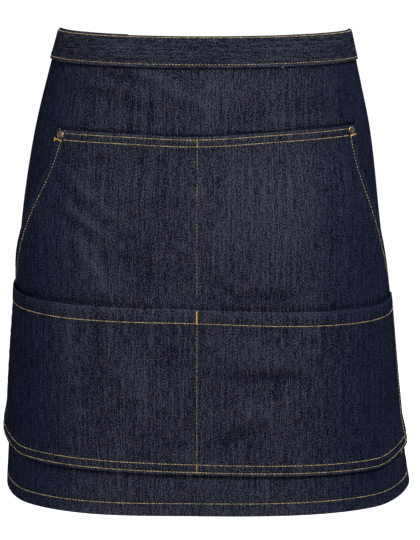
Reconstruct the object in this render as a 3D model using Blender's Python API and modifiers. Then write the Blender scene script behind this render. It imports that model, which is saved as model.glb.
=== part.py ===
# Waist apron in indigo denim, in the shape it takes round a wearer's waist.
# Metres, +Z up, the wearer faces -Y. The origin is the middle of the waist opening,
# level with the top of the waistband at the front and the sides.
# A point of the cloth is given by u, the distance along the cloth from the centre seam
# (positive to +X), by its drop below the top of the band, and by its lift off the panel.

import math
from collections import namedtuple

import bmesh
import bpy
from mathutils import Vector

# Cut sizes of the cloth
LENGTH = 0.500
FLAT_WIDTH = 0.610
CLOTH = 0.0012
SEAM_GAP = 0.0004

# The shape round the wearer, at the hem
HALF_WIDTH = 0.222
DEPTH = 0.146
# How steeply the waist falls behind the wearer's sides, and how far the side edges ride up
BACK_SLOPE = 0.17
SIDE_RISE = 0.005
SIDE_RISE_START = 0.200
SIDE_RISE_RUN = 0.070

# Waistband, a strip folded over the top edge of the panel
BAND_HEIGHT = 0.032
BAND_OVERLAP = 0.010
BAND_FOLD = 0.0012
BAND_GAP = 0.0006
# Where the rows of facets lie on each side of the fold, as shares of its height
BAND_LEG_ROWS = (0.4, 0.75)

# Ties, their knot and the two ends that hang from it
TIE_WIDTH = 0.025
TIE_GATHER = 0.014
TIE_GATHER_RUN = 0.035
KNOT_WIDTH = 0.026
KNOT_HEIGHT = 0.024
KNOT_DEPTH = 0.016
KNOT_CROWN = 0.2
KNOT_LIFT = 0.002
TAIL_LENGTH = 0.130
TAIL_SPLAY = 0.024
TAIL_FIRST_SPLAY = 0.35
TAIL_BOW = 0.008
TAIL_BOW_TURN = 0.8
TIE_CLEARANCE = 0.0003

# Pockets: the side edges, the bottom fold and the two top edges
POCKET_INSET = 0.040
HEM_STRIP = 0.044
LOWER_POCKET_HEIGHT = 0.1755
UPPER_POCKET_DROP = 0.099
# The upper pocket's top corners, in from its sides, and how far its top sits to one side
CORNER_INSET = 0.092
CORNER_SHIFT = 0.010
SLANT_CURVE = 1.75
SLANT_TUCK = 0.005
# The seams as sewn: slopes across the apron, the sag of the middle and the raised ends
UPPER_TILT = -0.014
UPPER_SAG = 0.003
UPPER_SAG_SPREAD = 0.060
LOWER_TILT = 0.022
BOTTOM_TILT = 0.0185
BOTTOM_END_RISE = 0.010
BOTTOM_END_RUN = 0.070
TOP_SEAM = 0.0105
# How far each pocket stands off what is behind it, and the flare of the bottom corners
UPPER_FULLNESS = 0.0095
UPPER_FULLEST = 0.42
UPPER_BEHIND = 0.12
LOWER_FULLNESS = 0.0095
CORNER_FLARE = 0.0025
CORNER_FLARE_START = 0.8
# How rounded that fullness is: over 1 is narrow and under 1 is broad
CLOSED_ROUNDING = 0.6
OPEN_ROUNDING = 1.2
OPENING_ROUNDING = 0.7
BELLY_ROUNDING = 1.6

# Rivets at the upper pocket's top corners
RIVET_INSET = 0.010
RIVET_DROP = 0.0045
RIVET_RADIUS = 0.0045
RIVET_DOME = 0.0016
RIVET_POST = 0.0015
RIVET_BACK = 0.0008
RIVET_BACK_RADIUS = 0.0040
RIVET_CLEARANCE = 0.0003
PUNCH_LENGTH = 0.012

# Level sections of the cloth from the waist to the hem. The drop is a share of LENGTH,
# the half widths are shares of HALF_WIDTH, and the rest are shares of DEPTH:
# front is how far the front stands before the origin, depth is from the front to the sides,
# and back is from the sides to the back. The squareness of 2 is an ellipse.
Section = namedtuple("Section", "drop left right front depth back squareness")
SECTIONS = (
    Section(drop=0.00, left=0.69, right=0.715, front=0.745, depth=0.72, back=0.70, squareness=1.95),
    Section(drop=0.07, left=0.73, right=0.745, front=0.780, depth=0.74, back=0.74, squareness=1.95),
    Section(drop=0.22, left=0.81, right=0.810, front=0.830, depth=0.79, back=0.80, squareness=2.00),
    Section(drop=0.40, left=0.875, right=0.860, front=0.88, depth=0.82, back=0.85, squareness=2.20),
    Section(drop=0.58, left=0.91, right=0.910, front=0.900, depth=0.86, back=0.90, squareness=2.50),
    Section(drop=0.76, left=0.94, right=0.955, front=0.920, depth=0.92, back=0.92, squareness=2.60),
    Section(drop=0.92, left=0.96, right=1.000, front=0.935, depth=0.97, back=0.95, squareness=2.65),
    Section(drop=1.00, left=0.97, right=1.025, front=0.940, depth=1.00, back=0.95, squareness=2.65),
)

# Facets
RING_STEPS = 180
PANEL_COLUMNS = 50
PANEL_ROWS = 18
PANEL_ROW_CROWDING = 1.25
POCKET_COLUMNS = 44
UPPER_ROWS = 16
LOWER_ROWS = 7
TIE_COLUMNS = 10
TAIL_ROWS = 8
RIVET_SIDES = 12
DOME_STEPS = 3

DENIM = (0.016, 0.021, 0.042, 1.0)
DENIM_BAND = (0.014, 0.019, 0.040, 1.0)
BRASS = (0.36, 0.25, 0.12, 1.0)
DENIM_ROUGHNESS = 0.85
BRASS_ROUGHNESS = 0.38


def smooth(t):
    """A soft step from 0 to 1."""
    t = min(max(t, 0.0), 1.0)
    return t * t * (3 - 2 * t)


def mix(a, b, t):
    return a + (b - a) * t


# The worn shape

def section_at(drop):
    """The section at a drop, read smoothly between the rows of the table."""
    share = min(max(drop / LENGTH, 0.0), 1.0)
    k = 0
    while k < len(SECTIONS) - 2 and share > SECTIONS[k + 1].drop:
        k += 1
    a = SECTIONS[k]
    b = SECTIONS[k + 1]
    before = SECTIONS[max(k - 1, 0)]
    after = SECTIONS[min(k + 2, len(SECTIONS) - 1)]
    span = b.drop - a.drop
    t = (share - a.drop) / span
    values = [share]
    for column in range(1, len(a)):
        slope_a = (b[column] - before[column]) / (b.drop - before.drop) * span
        slope_b = (after[column] - a[column]) / (after.drop - a.drop) * span
        values.append(
            a[column] * (2 * t**3 - 3 * t**2 + 1)
            + slope_a * (t**3 - 2 * t**2 + t)
            + b[column] * (3 * t**2 - 2 * t**3)
            + slope_b * (t**3 - t**2)
        )
    return Section(*values)


def on_section(section, side, angle):
    """A point and the outward direction on one side of a section, from the front at 0."""
    width = HALF_WIDTH * (section.right if side > 0 else section.left)
    in_front = angle <= math.pi / 2
    depth = DEPTH * (section.depth if in_front else section.back)
    facing = -1 if in_front else 1
    power = section.squareness
    x = width * abs(math.sin(angle)) ** (2 / power)
    y = depth * abs(math.cos(angle)) ** (2 / power)
    out_x = (x / width) ** (power - 1) / width
    out_y = (y / depth) ** (power - 1) / depth
    size = math.hypot(out_x, out_y)
    middle = DEPTH * (section.depth - section.front)
    return side * x, middle + facing * y, side * out_x / size, facing * out_y / size


ring_cache = {}


def ring(drop, side):
    """The section at a drop with its running lengths: pairs of length and angle."""
    key = (round(drop, 6), side)
    if key not in ring_cache:
        section = section_at(drop)
        lengths = [(0.0, 0.0)]
        x, y = on_section(section, side, 0.0)[:2]
        for step in range(1, RING_STEPS + 1):
            angle = math.pi * step / RING_STEPS
            next_x, next_y = on_section(section, side, angle)[:2]
            lengths.append((lengths[-1][0] + math.hypot(next_x - x, next_y - y), angle))
            x, y = next_x, next_y
        ring_cache[key] = (section, lengths)
    return ring_cache[key]


def half_girth(drop, side):
    """The length of the section from the front centre round to the back centre."""
    return ring(drop, side)[1][-1][0]


def cloth_point(u, drop, lift=0.0):
    """Where a point of the cloth lies on the wearer."""
    side = 1 if u >= 0 else -1
    section, lengths = ring(drop, side)
    low = 0
    high = len(lengths) - 1
    while high - low > 1:
        middle = (low + high) // 2
        if lengths[middle][0] <= abs(u):
            low = middle
        else:
            high = middle
    start, start_angle = lengths[low]
    end, end_angle = lengths[high]
    angle = mix(start_angle, end_angle, (abs(u) - start) / (end - start))
    x, y, out_x, out_y = on_section(section, side, min(angle, math.pi))
    share = min(drop / LENGTH, 1.0)
    behind = max(0.0, y - DEPTH * (section.depth - section.front))
    ride = SIDE_RISE * share * smooth((abs(u) - SIDE_RISE_START) / SIDE_RISE_RUN)
    z = -drop - BACK_SLOPE * behind * (1 - share) + ride
    return Vector((x + out_x * lift, y + out_y * lift, z))


def outward(u, drop):
    """The direction straight off the cloth at a point."""
    step = 0.002
    across = cloth_point(u + step, drop) - cloth_point(u - step, drop)
    down = cloth_point(u, drop + step) - cloth_point(u, drop - step)
    return down.cross(across).normalized()


# Where the seams and edges of the pockets lie

def pocket_half():
    return FLAT_WIDTH / 2 - POCKET_INSET


def bottom_edge(u):
    """The drop of the pockets' bottom fold."""
    start = pocket_half() - BOTTOM_END_RUN
    rise = BOTTOM_END_RISE * smooth((abs(u) - start) / BOTTOM_END_RUN)
    return LENGTH - HEM_STRIP + BOTTOM_TILT * u - rise


def lower_top_edge(u):
    """The drop of the lower pocket's open top."""
    return LENGTH - HEM_STRIP - LOWER_POCKET_HEIGHT + LOWER_TILT * u


def upper_top_edge(u):
    """The drop of the upper pocket's top fold, which sags a little in the middle."""
    return UPPER_POCKET_DROP + UPPER_TILT * u + UPPER_SAG * math.exp(-((u / UPPER_SAG_SPREAD) ** 2))


def slant_end():
    return lower_top_edge(0.0) + SLANT_TUCK


def slanted_edge(side, drop):
    """How far the upper pocket reaches to one side at a drop, as a positive length."""
    t = (drop - UPPER_POCKET_DROP) / (slant_end() - UPPER_POCKET_DROP)
    t = min(max(t, 0.0), 1.0)
    top = pocket_half() - CORNER_INSET
    return top + CORNER_INSET * t**SLANT_CURVE + side * CORNER_SHIFT * (1 - t)


def upper_stand_off(u, drop):
    """The upper pocket's fullness: none at its seams, most at its slanted openings."""
    start = upper_top_edge(u) + TOP_SEAM
    end = slant_end()
    side = 1 if u >= 0 else -1
    across = min(abs(u) / slanted_edge(side, drop), 1.0)
    t = (drop - start) / (end - start)
    if t <= 0:
        return 0.0
    if t < UPPER_FULLEST:
        swell = smooth(t / UPPER_FULLEST)
    elif t < 1:
        swell = mix(1, UPPER_BEHIND, smooth((t - UPPER_FULLEST) / (1 - UPPER_FULLEST)))
    else:
        swell = UPPER_BEHIND * (1 - smooth((drop - end) / (bottom_edge(u) - TOP_SEAM - end)))
    opening = math.sin(math.pi * min(t, 1.0)) ** OPENING_ROUNDING
    closed = math.sin(math.pi * across) ** CLOSED_ROUNDING
    opened = math.sin(math.pi / 2 * across) ** OPEN_ROUNDING
    return UPPER_FULLNESS * swell * mix(closed, opened, opening)


def lower_stand_off(u, drop):
    """The lower pocket's fullness in each half, and the flare of its bottom corners."""
    top = lower_top_edge(u)
    t = min(max((drop - top) / (bottom_edge(u) - TOP_SEAM - top), 0.0), 1.0)
    across = min(abs(u) / pocket_half(), 1.0)
    swell = (1 - t**BELLY_ROUNDING) * math.sin(math.pi * across) ** CLOSED_ROUNDING
    flare = smooth(t) * smooth((across - CORNER_FLARE_START) / (1 - CORNER_FLARE_START))
    return LOWER_FULLNESS * swell + CORNER_FLARE * flare


def upper_lift(u, drop):
    """The lift of the upper pocket's inner face."""
    return SEAM_GAP + upper_stand_off(u, drop)


def lower_lift(u, drop):
    """The lift of the lower pocket's inner face, which lies over the upper pocket."""
    return upper_lift(u, drop) + CLOTH + SEAM_GAP + lower_stand_off(u, drop)


# Making objects

def clear_scene():
    for thing in list(bpy.data.objects):
        bpy.data.objects.remove(thing, do_unlink=True)


def make_material(name, colour, roughness, metallic=0.0):
    material = bpy.data.materials.new(name)
    material.use_nodes = True
    shader = material.node_tree.nodes["Principled BSDF"]
    shader.inputs["Base Color"].default_value = colour
    shader.inputs["Roughness"].default_value = roughness
    shader.inputs["Metallic"].default_value = metallic
    return material


def add_object(name, mesh, material, collection):
    thing = bpy.data.objects.new(name, mesh)
    mesh.materials.append(material)
    collection.objects.link(thing)
    return thing


def grid_mesh(name, point, columns, rows):
    """An open surface through point(across, down), both from 0 to 1, with its face outward."""
    bm = bmesh.new()
    grid = []
    for j in range(rows + 1):
        grid.append([bm.verts.new(point(i / columns, j / rows)) for i in range(columns + 1)])
    for j in range(rows):
        for i in range(columns):
            bm.faces.new((grid[j][i], grid[j + 1][i], grid[j + 1][i + 1], grid[j][i + 1]))
    mesh = bpy.data.meshes.new(name)
    bm.to_mesh(mesh)
    bm.free()
    mesh.shade_smooth()
    return mesh


def thicken(thing, thickness, outside):
    """Gives a surface its thickness, on its outside or on its inside."""
    shell = thing.modifiers.new("thickness", "SOLIDIFY")
    shell.thickness = thickness
    shell.offset = 1 if outside else -1
    shell.use_even_offset = True


def cut(thing, cutter, name):
    hole = thing.modifiers.new(name, "BOOLEAN")
    hole.operation = "DIFFERENCE"
    hole.solver = "EXACT"
    hole.object = cutter


def make_panel(material, parts):
    """The main sheet; its top edge ends inside the fold of the band."""
    top = CLOTH + BAND_FOLD + SEAM_GAP

    def point(across, down):
        # Rows lie closer together near the waist, where the shape turns faster
        drop = mix(top, LENGTH, down**PANEL_ROW_CROWDING)
        return cloth_point((across - 0.5) * FLAT_WIDTH, drop)

    panel = add_object("panel", grid_mesh("panel", point, PANEL_COLUMNS, PANEL_ROWS), material, parts)
    thicken(panel, CLOTH, outside=False)
    return panel


def band_profile():
    """The inside of the folded band, from its outer hem over the top to its inner hem."""
    outer = BAND_GAP
    inner = -CLOTH - BAND_GAP
    radius = (outer - inner) / 2
    fold = CLOTH + BAND_FOLD
    leg = [BAND_HEIGHT] + [mix(BAND_HEIGHT, fold, share) for share in BAND_LEG_ROWS]
    profile = [(outer, drop) for drop in leg]
    for step in range(5):
        angle = math.pi * step / 4
        lift = (outer + inner) / 2 + radius * math.cos(angle)
        profile.append((lift, fold - BAND_FOLD * math.sin(angle)))
    return profile + [(inner, drop) for drop in reversed(leg)]


def make_waistband(material, parts):
    profile = band_profile()
    half = FLAT_WIDTH / 2 + BAND_OVERLAP
    # The band's columns are the panel's own, and one more at each end
    reach = FLAT_WIDTH / 2 + FLAT_WIDTH / PANEL_COLUMNS

    def point(across, round_fold):
        # The rows run down the outer face last, so that the surface faces out of the fold
        lift, drop = profile[len(profile) - 1 - round(round_fold * (len(profile) - 1))]
        u = min(max((across * 2 - 1) * reach, -half), half)
        return cloth_point(u, drop, lift)

    mesh = grid_mesh("waistband", point, PANEL_COLUMNS + 2, len(profile) - 1)
    band = add_object("waistband", mesh, material, parts)
    thicken(band, CLOTH, outside=True)
    return band


def make_upper_pocket(material, parts):
    """The wide pocket with slanted openings; it runs down behind the lower pocket."""
    bottom_gap = CLOTH + SEAM_GAP

    def point(across, down):
        share = across * 2 - 1
        side = 1 if share >= 0 else -1
        level = mix(UPPER_POCKET_DROP, LENGTH - HEM_STRIP, down)
        u = share * slanted_edge(side, level)
        drop = mix(upper_top_edge(u), bottom_edge(u) - bottom_gap, down)
        return cloth_point(u, drop, upper_lift(u, drop))

    mesh = grid_mesh("upper_pocket", point, POCKET_COLUMNS, UPPER_ROWS)
    pocket = add_object("upper_pocket", mesh, material, parts)
    thicken(pocket, CLOTH, outside=True)
    return pocket


def make_lower_pocket(material, parts):
    """The wide pocket across the bottom, open at its top."""

    def point(across, down):
        u = (across * 2 - 1) * pocket_half()
        drop = mix(lower_top_edge(u), bottom_edge(u), down)
        return cloth_point(u, drop, lower_lift(u, drop))

    mesh = grid_mesh("lower_pocket", point, POCKET_COLUMNS, LOWER_ROWS)
    pocket = add_object("lower_pocket", mesh, material, parts)
    thicken(pocket, CLOTH, outside=True)
    return pocket


def knot_place():
    """The middle of the knot, at the back of the waist."""
    drop = BAND_HEIGHT / 2
    return cloth_point(half_girth(drop, 1), drop, KNOT_LIFT)


def make_tie(name, side, material, parts):
    """One strap, from inside the end of the band to the knot."""
    middle = BAND_HEIGHT / 2
    start = FLAT_WIDTH / 2 + TIE_CLEARANCE
    end = half_girth(middle, side) - KNOT_WIDTH / 2 - TIE_CLEARANCE

    def point(across, down):
        share = across if side > 0 else 1 - across
        u = mix(start, end, share)
        gather = smooth(1 - (end - u) / TIE_GATHER_RUN)
        width = mix(TIE_WIDTH, TIE_GATHER, gather)
        across_strap = width * (down - 0.5)
        # It lies along the panel's edge at first, and stands straight up at the knot
        lying = cloth_point(side * u, middle + across_strap)
        standing = cloth_point(side * u, middle) - Vector((0, 0, across_strap))
        return lying.lerp(standing, smooth(share))

    tie = add_object(name, grid_mesh(name, point, TIE_COLUMNS, 2), material, parts)
    thicken(tie, CLOTH, outside=False)
    return tie


def make_knot(material, parts):
    """A plain soft knot, wider across its middle."""
    bm = bmesh.new()
    bmesh.ops.create_cube(bm, size=1.0)
    bmesh.ops.subdivide_edges(bm, edges=bm.edges[:], cuts=2, use_grid_fill=True)
    for vert in bm.verts:
        crown = 1 - KNOT_CROWN * (1 - math.cos(math.pi * vert.co.x))
        vert.co.x *= KNOT_WIDTH
        vert.co.y *= KNOT_DEPTH * crown
        vert.co.z *= KNOT_HEIGHT * crown
    mesh = bpy.data.meshes.new("tie_knot")
    bm.to_mesh(mesh)
    bm.free()
    mesh.shade_smooth()
    knot = add_object("tie_knot", mesh, material, parts)
    knot.location = knot_place()
    soft = knot.modifiers.new("soft", "SUBSURF")
    soft.levels = 1
    soft.render_levels = 1
    return knot


def make_tail(name, side, material, parts):
    """A free end of a tie, hanging from below the knot."""
    knot = knot_place()
    top = knot.z - KNOT_HEIGHT / 2 - TIE_CLEARANCE
    near = knot.y + side * (CLOTH + TIE_CLEARANCE) / 2

    def point(across, down):
        width = mix(TIE_GATHER, TIE_WIDTH, smooth(down * 2))
        lean = side * TAIL_SPLAY * mix(TAIL_FIRST_SPLAY, 1, down)
        x = knot.x + lean + (across - 0.5) * width
        y = near + TAIL_BOW * math.sin(math.pi * down * TAIL_BOW_TURN)
        return Vector((-x, y, top - TAIL_LENGTH * down))

    tail = add_object(name, grid_mesh(name, point, 2, TAIL_ROWS), material, parts)
    thicken(tail, CLOTH, outside=False)
    return tail


def rivet_frame(side):
    """The middle of a rivet on the panel's outer face, and the direction it faces."""
    drop = UPPER_POCKET_DROP + RIVET_DROP
    reach = slanted_edge(side, drop) - RIVET_INSET
    u = side * reach
    drop = upper_top_edge(u) + RIVET_DROP
    return cloth_point(u, drop), outward(u, drop)


def make_rivet(name, side, material, parts):
    """A domed cap on the pocket, a post through both layers and a back plate."""
    outer = SEAM_GAP + CLOTH + RIVET_CLEARANCE
    inner = -CLOTH - RIVET_CLEARANCE
    profile = []
    for step in range(DOME_STEPS + 1):
        angle = math.pi / 2 * step / DOME_STEPS
        profile.append((RIVET_RADIUS * math.sin(angle), outer + RIVET_DOME * math.cos(angle)))
    profile += [
        (RIVET_POST, outer),
        (RIVET_POST, inner),
        (RIVET_BACK_RADIUS, inner),
        (RIVET_BACK_RADIUS, inner - RIVET_BACK),
        (0.0, inner - RIVET_BACK),
    ]
    mesh = bpy.data.meshes.new(name)
    edges = [(i, i + 1) for i in range(len(profile) - 1)]
    mesh.from_pydata([(x, 0, z) for x, z in profile], edges, [])
    rivet = add_object(name, mesh, material, parts)
    turn = rivet.modifiers.new("turn", "SCREW")
    turn.axis = "Z"
    turn.steps = RIVET_SIDES
    turn.render_steps = RIVET_SIDES
    turn.use_merge_vertices = True
    turn.merge_threshold = 0.00001
    spot, facing = rivet_frame(side)
    rivet.location = spot
    rivet.rotation_mode = "QUATERNION"
    rivet.rotation_quaternion = facing.to_track_quat("Z", "Y")
    return rivet


def make_rivet_cutter(name, side, cutters):
    """A round punch for the rivet's post."""
    bm = bmesh.new()
    size = RIVET_POST + RIVET_CLEARANCE
    bmesh.ops.create_cone(
        bm, cap_ends=True, segments=RIVET_SIDES, radius1=size, radius2=size, depth=PUNCH_LENGTH
    )
    mesh = bpy.data.meshes.new(name)
    bm.to_mesh(mesh)
    bm.free()
    punch = bpy.data.objects.new(name, mesh)
    cutters.objects.link(punch)
    spot, facing = rivet_frame(side)
    punch.location = spot
    punch.rotation_mode = "QUATERNION"
    punch.rotation_quaternion = facing.to_track_quat("Z", "Y")
    punch.display_type = "WIRE"
    punch.hide_render = True
    return punch


def main():
    clear_scene()
    parts = bpy.data.collections.new("waist_apron")
    cutters = bpy.data.collections.new("cutters")
    bpy.context.scene.collection.children.link(parts)
    bpy.context.scene.collection.children.link(cutters)

    panel = make_panel(make_material("panel denim", DENIM, DENIM_ROUGHNESS), parts)
    make_waistband(make_material("band denim", DENIM_BAND, DENIM_ROUGHNESS), parts)
    upper = make_upper_pocket(make_material("upper pocket denim", DENIM, DENIM_ROUGHNESS), parts)
    make_lower_pocket(make_material("lower pocket denim", DENIM, DENIM_ROUGHNESS), parts)

    for side, word in ((-1, "left"), (1, "right")):
        strap = make_material("tie denim " + word, DENIM_BAND, DENIM_ROUGHNESS)
        make_tie("tie_" + word, side, strap, parts)
        loose = make_material("tail denim " + word, DENIM_BAND, DENIM_ROUGHNESS)
        make_tail("tie_tail_" + word, side, loose, parts)
        brass = make_material("rivet brass " + word, BRASS, BRASS_ROUGHNESS, 1.0)
        make_rivet("rivet_" + word, side, brass, parts)
        punch = make_rivet_cutter("punch_" + word, side, cutters)
        cut(panel, punch, "rivet hole " + word)
        cut(upper, punch, "rivet hole " + word)
    make_knot(make_material("knot denim", DENIM_BAND, DENIM_ROUGHNESS), parts)


main()
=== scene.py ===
# %% [markdown]
# # A denim waist apron, as worn
#
# The real apron is a flat panel of indigo denim, gathered on a folded waistband, with two
# wide pockets sewn on in gold thread. Every piece of it is flat cloth, and its shape comes
# from the waist and hips that it wraps. So this scene describes the wrapped surface once,
# and each piece of cloth, each stitch and each rivet is then placed on that surface by three
# numbers: how far round it is, how far down it is, and how far it stands off.

# %% The fixed frame and its box
import math

import bmesh
import bpy
import numpy as np
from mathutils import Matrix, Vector


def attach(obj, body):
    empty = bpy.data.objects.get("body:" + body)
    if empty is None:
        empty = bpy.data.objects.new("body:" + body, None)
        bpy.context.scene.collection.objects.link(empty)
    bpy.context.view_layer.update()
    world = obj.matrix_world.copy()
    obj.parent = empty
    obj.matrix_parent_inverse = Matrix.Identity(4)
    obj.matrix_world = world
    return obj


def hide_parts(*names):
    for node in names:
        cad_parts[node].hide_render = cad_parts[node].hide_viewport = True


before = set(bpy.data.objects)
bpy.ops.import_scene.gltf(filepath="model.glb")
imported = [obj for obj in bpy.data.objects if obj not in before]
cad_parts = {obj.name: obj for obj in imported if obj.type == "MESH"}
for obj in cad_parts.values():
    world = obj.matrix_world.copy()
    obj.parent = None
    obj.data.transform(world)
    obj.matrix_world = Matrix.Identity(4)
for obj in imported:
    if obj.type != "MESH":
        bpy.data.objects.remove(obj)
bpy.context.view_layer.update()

print("fixed nodes:", sorted(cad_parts))

# %% [markdown]
# ## Named sizes
#
# These are the sizes the apron was cut and sewn to, in metres. Nearly all of them repeat the
# sizes of the solids that the scene dresses, so that each piece of cloth lies on its solid.
# The curve of the slanted edges, the places of the rivets and the sections further down were
# fitted to the photograph once more.

# %% Sizes of the cut cloth and its seams
MM = 0.001
LENGTH = 0.500
FLAT_WIDTH = 0.610
CLOTH = 0.0012
SEAM_GAP = 0.0004

BAND_HEIGHT = 0.032
BAND_OVERLAP = 0.010
BAND_GAP = 0.0006
BAND_FOLD = 0.0012

POCKET_INSET = 0.040
POCKET_HALF = FLAT_WIDTH / 2 - POCKET_INSET
HEM_STRIP = 0.044
LOWER_POCKET_HEIGHT = 0.1755
UPPER_POCKET_DROP = 0.099
CORNER_INSET = 0.092
CORNER_SHIFT = 0.010
SLANT_CURVE = 1.90
SLANT_CURVE_SHIFT = 0.05
SLANT_TUCK = 0.005
TOP_SEAM = 0.0105

UPPER_FULLNESS = 0.0095
UPPER_FULLEST = 0.42
UPPER_BEHIND = 0.03
UPPER_RIGHT_FLATTER = 0.15
LOWER_FULLNESS = 0.0095
CORNER_FLARE = 0.0025

TIE_WIDTH = 0.025
TIE_GATHER = 0.014
TIE_GATHER_RUN = 0.035
KNOT_WIDTH = 0.026
KNOT_HEIGHT = 0.024
KNOT_LIFT = 0.002
TAIL_LENGTH = 0.130
TAIL_SPLAY = 0.024
TAIL_FIRST_SPLAY = 0.35
TAIL_BOW = 0.008
TAIL_BOW_TURN = 0.8
TIE_CLEARANCE = 0.0003

RIVET_INSET = 0.0095
RIVET_DROP = 0.0055
RIVET_RADIUS = 0.0045
RIVET_CLEARANCE = 0.0003

# Seams: how far each row of stitches lies from the fold beside it
BAND_TOP_STITCH = 0.0015
BAND_LOW_STITCH = 0.0033
BAND_END_STITCH = 0.004
UPPER_STITCHES = (0.0032, 0.0102)
SLANT_STITCH = 0.008
LOWER_HEM_STITCH = 0.0145
BOTTOM_STITCHES = (0.003, 0.0112)
SIDE_STITCH = 0.011
PANEL_HEM_STITCH = 0.014
PANEL_SIDE_STITCH = 0.010
print("apron", FLAT_WIDTH, "by", LENGTH, "m before it is worn")

# %% [markdown]
# ## The surface that the apron wraps
#
# Round a waist, cloth takes level sections like squashed ellipses, and a table of eight such
# sections is enough for the whole drop. Each row holds given shares, and the values
# between the rows follow a smooth curve. A point is asked for by its distance round the
# section, not by an angle, because cloth keeps its width however it is bent. That needs the
# running length of each section, which is summed once here.

# %% Sections from the waist to the hem
HALF_WIDTH = 0.222
DEPTH = 0.146
BACK_SLOPE = 0.17
SIDE_RISE = 0.005
SIDE_RISE_START = 0.200
SIDE_RISE_RUN = 0.070

COLUMNS = ("drop", "left", "right", "front", "depth", "back", "squareness")
SECTIONS = np.array([
    (0.00, 0.683, 0.711, 0.745, 0.72, 0.70, 1.95),
    (0.07, 0.726, 0.744, 0.780, 0.74, 0.74, 1.95),
    (0.22, 0.810, 0.814, 0.830, 0.79, 0.80, 2.00),
    (0.40, 0.873, 0.862, 0.880, 0.82, 0.85, 2.20),
    (0.58, 0.904, 0.910, 0.900, 0.86, 0.90, 2.50),
    (0.76, 0.938, 0.953, 0.920, 0.92, 0.92, 2.60),
    (0.92, 0.960, 1.000, 0.935, 0.97, 0.95, 2.65),
    (1.00, 0.972, 1.030, 0.940, 1.00, 0.95, 2.65),
])


def smooth(t):
    """A soft step from 0 to 1."""
    t = np.clip(t, 0.0, 1.0)
    return t * t * (3 - 2 * t)


def mix(a, b, t):
    return a + (b - a) * t


def bump(distance, width):
    """1 on a line, and nearly nothing a few widths from it."""
    return np.exp(-((distance / width) ** 2))


def section_columns(drop):
    """Every column of the sections at each drop, by name."""
    share = np.clip(np.asarray(drop, float) / LENGTH, 0.0, 1.0)
    rows = SECTIONS[:, 0]
    last = len(rows) - 1
    k = np.clip(np.searchsorted(rows, share, side="left") - 1, 0, last - 1)
    before = np.maximum(k - 1, 0)
    after = np.minimum(k + 2, last)
    span = rows[k + 1] - rows[k]
    t = (share - rows[k]) / span
    found = {}
    for index, name in enumerate(COLUMNS[1:], start=1):
        a = SECTIONS[k, index]
        b = SECTIONS[k + 1, index]
        slope_a = (b - SECTIONS[before, index]) / (rows[k + 1] - rows[before]) * span
        slope_b = (SECTIONS[after, index] - a) / (rows[after] - rows[k]) * span
        found[name] = (
            a * (2 * t**3 - 3 * t**2 + 1)
            + slope_a * (t**3 - 2 * t**2 + t)
            + b * (3 * t**2 - 2 * t**3)
            + slope_b * (t**3 - t**2)
        )
    return found


def on_section(found, side, angle):
    """Points of sections and the way they face, at angles from the front."""
    width = HALF_WIDTH * np.where(side > 0, found["right"], found["left"])
    in_front = angle <= math.pi / 2
    depth = DEPTH * np.where(in_front, found["depth"], found["back"])
    facing = np.where(in_front, -1.0, 1.0)
    power = found["squareness"]
    x = width * np.abs(np.sin(angle)) ** (2 / power)
    y = depth * np.abs(np.cos(angle)) ** (2 / power)
    out_x = (x / width) ** (power - 1) / width
    out_y = (y / depth) ** (power - 1) / depth
    size = np.hypot(out_x, out_y)
    middle = DEPTH * (found["depth"] - found["front"])
    return side * x, middle + facing * y, side * out_x / size, facing * out_y / size, middle


print(len(SECTIONS), "sections")

# %% Running lengths of the sections
RINGS = 241
RING_ANGLES = 1200
ROW_KEY = 4.0

ring_drops = np.linspace(0.0, LENGTH, RINGS)
quarters = np.linspace(0.0, 2.0, RING_ANGLES + 1)
whole = np.minimum(np.floor(quarters), 1.0)
ring_angles = math.pi / 2 * (whole + smooth(quarters - whole))
ring_lengths = {}
for side in (-1, 1):
    columns = {name: values[:, None] for name, values in section_columns(ring_drops).items()}
    ring_x, ring_y = on_section(columns, side, ring_angles[None, :])[:2]
    steps = np.hypot(np.diff(ring_x, axis=1), np.diff(ring_y, axis=1))
    ring_lengths[side] = np.concatenate([np.zeros((RINGS, 1)), np.cumsum(steps, axis=1)], axis=1)
ring_keys = {side: (ring_lengths[side] + ROW_KEY * np.arange(RINGS)[:, None]).ravel() for side in (-1, 1)}


def angle_at(u, drop, side):
    """The angle that lies a length u round from the front, on the section at each drop."""
    place = np.clip(drop / LENGTH, 0.0, 1.0) * (RINGS - 1)
    row = np.minimum(place.astype(int), RINGS - 2)
    found = []
    for ring in (row, row + 1):
        key = np.minimum(np.abs(u), ring_lengths[side][ring, -1] - 1e-9) + ROW_KEY * ring
        index = np.searchsorted(ring_keys[side], key, side="right") - 1
        start = ring_keys[side][index]
        end = ring_keys[side][index + 1]
        step = index % (RING_ANGLES + 1)
        share = (key - start) / np.maximum(end - start, 1e-12)
        found.append(mix(ring_angles[step], ring_angles[np.minimum(step + 1, RING_ANGLES)], share))
    return mix(found[0], found[1], place - row)


def worn(u, drop, lift=0.0):
    """Places on the wrapped surface: u round it, drop down it and lift off it."""
    u, drop, lift = np.broadcast_arrays(*(np.asarray(value, float) for value in (u, drop, lift)))
    places = np.zeros(u.shape + (3,))
    for side in (-1, 1):
        mine = (u >= 0) == (side > 0)
        if not mine.any():
            continue
        found = section_columns(drop[mine])
        x, y, out_x, out_y, middle = on_section(found, side, angle_at(u[mine], drop[mine], side))
        share = np.minimum(drop[mine] / LENGTH, 1.0)
        behind = np.maximum(0.0, y - middle)
        ride = SIDE_RISE * share * smooth((np.abs(u[mine]) - SIDE_RISE_START) / SIDE_RISE_RUN)
        z = -drop[mine] - BACK_SLOPE * behind * (1 - share) + ride
        places[mine] = np.stack([x + out_x * lift[mine], y + out_y * lift[mine], z], axis=-1)
    return places


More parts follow.
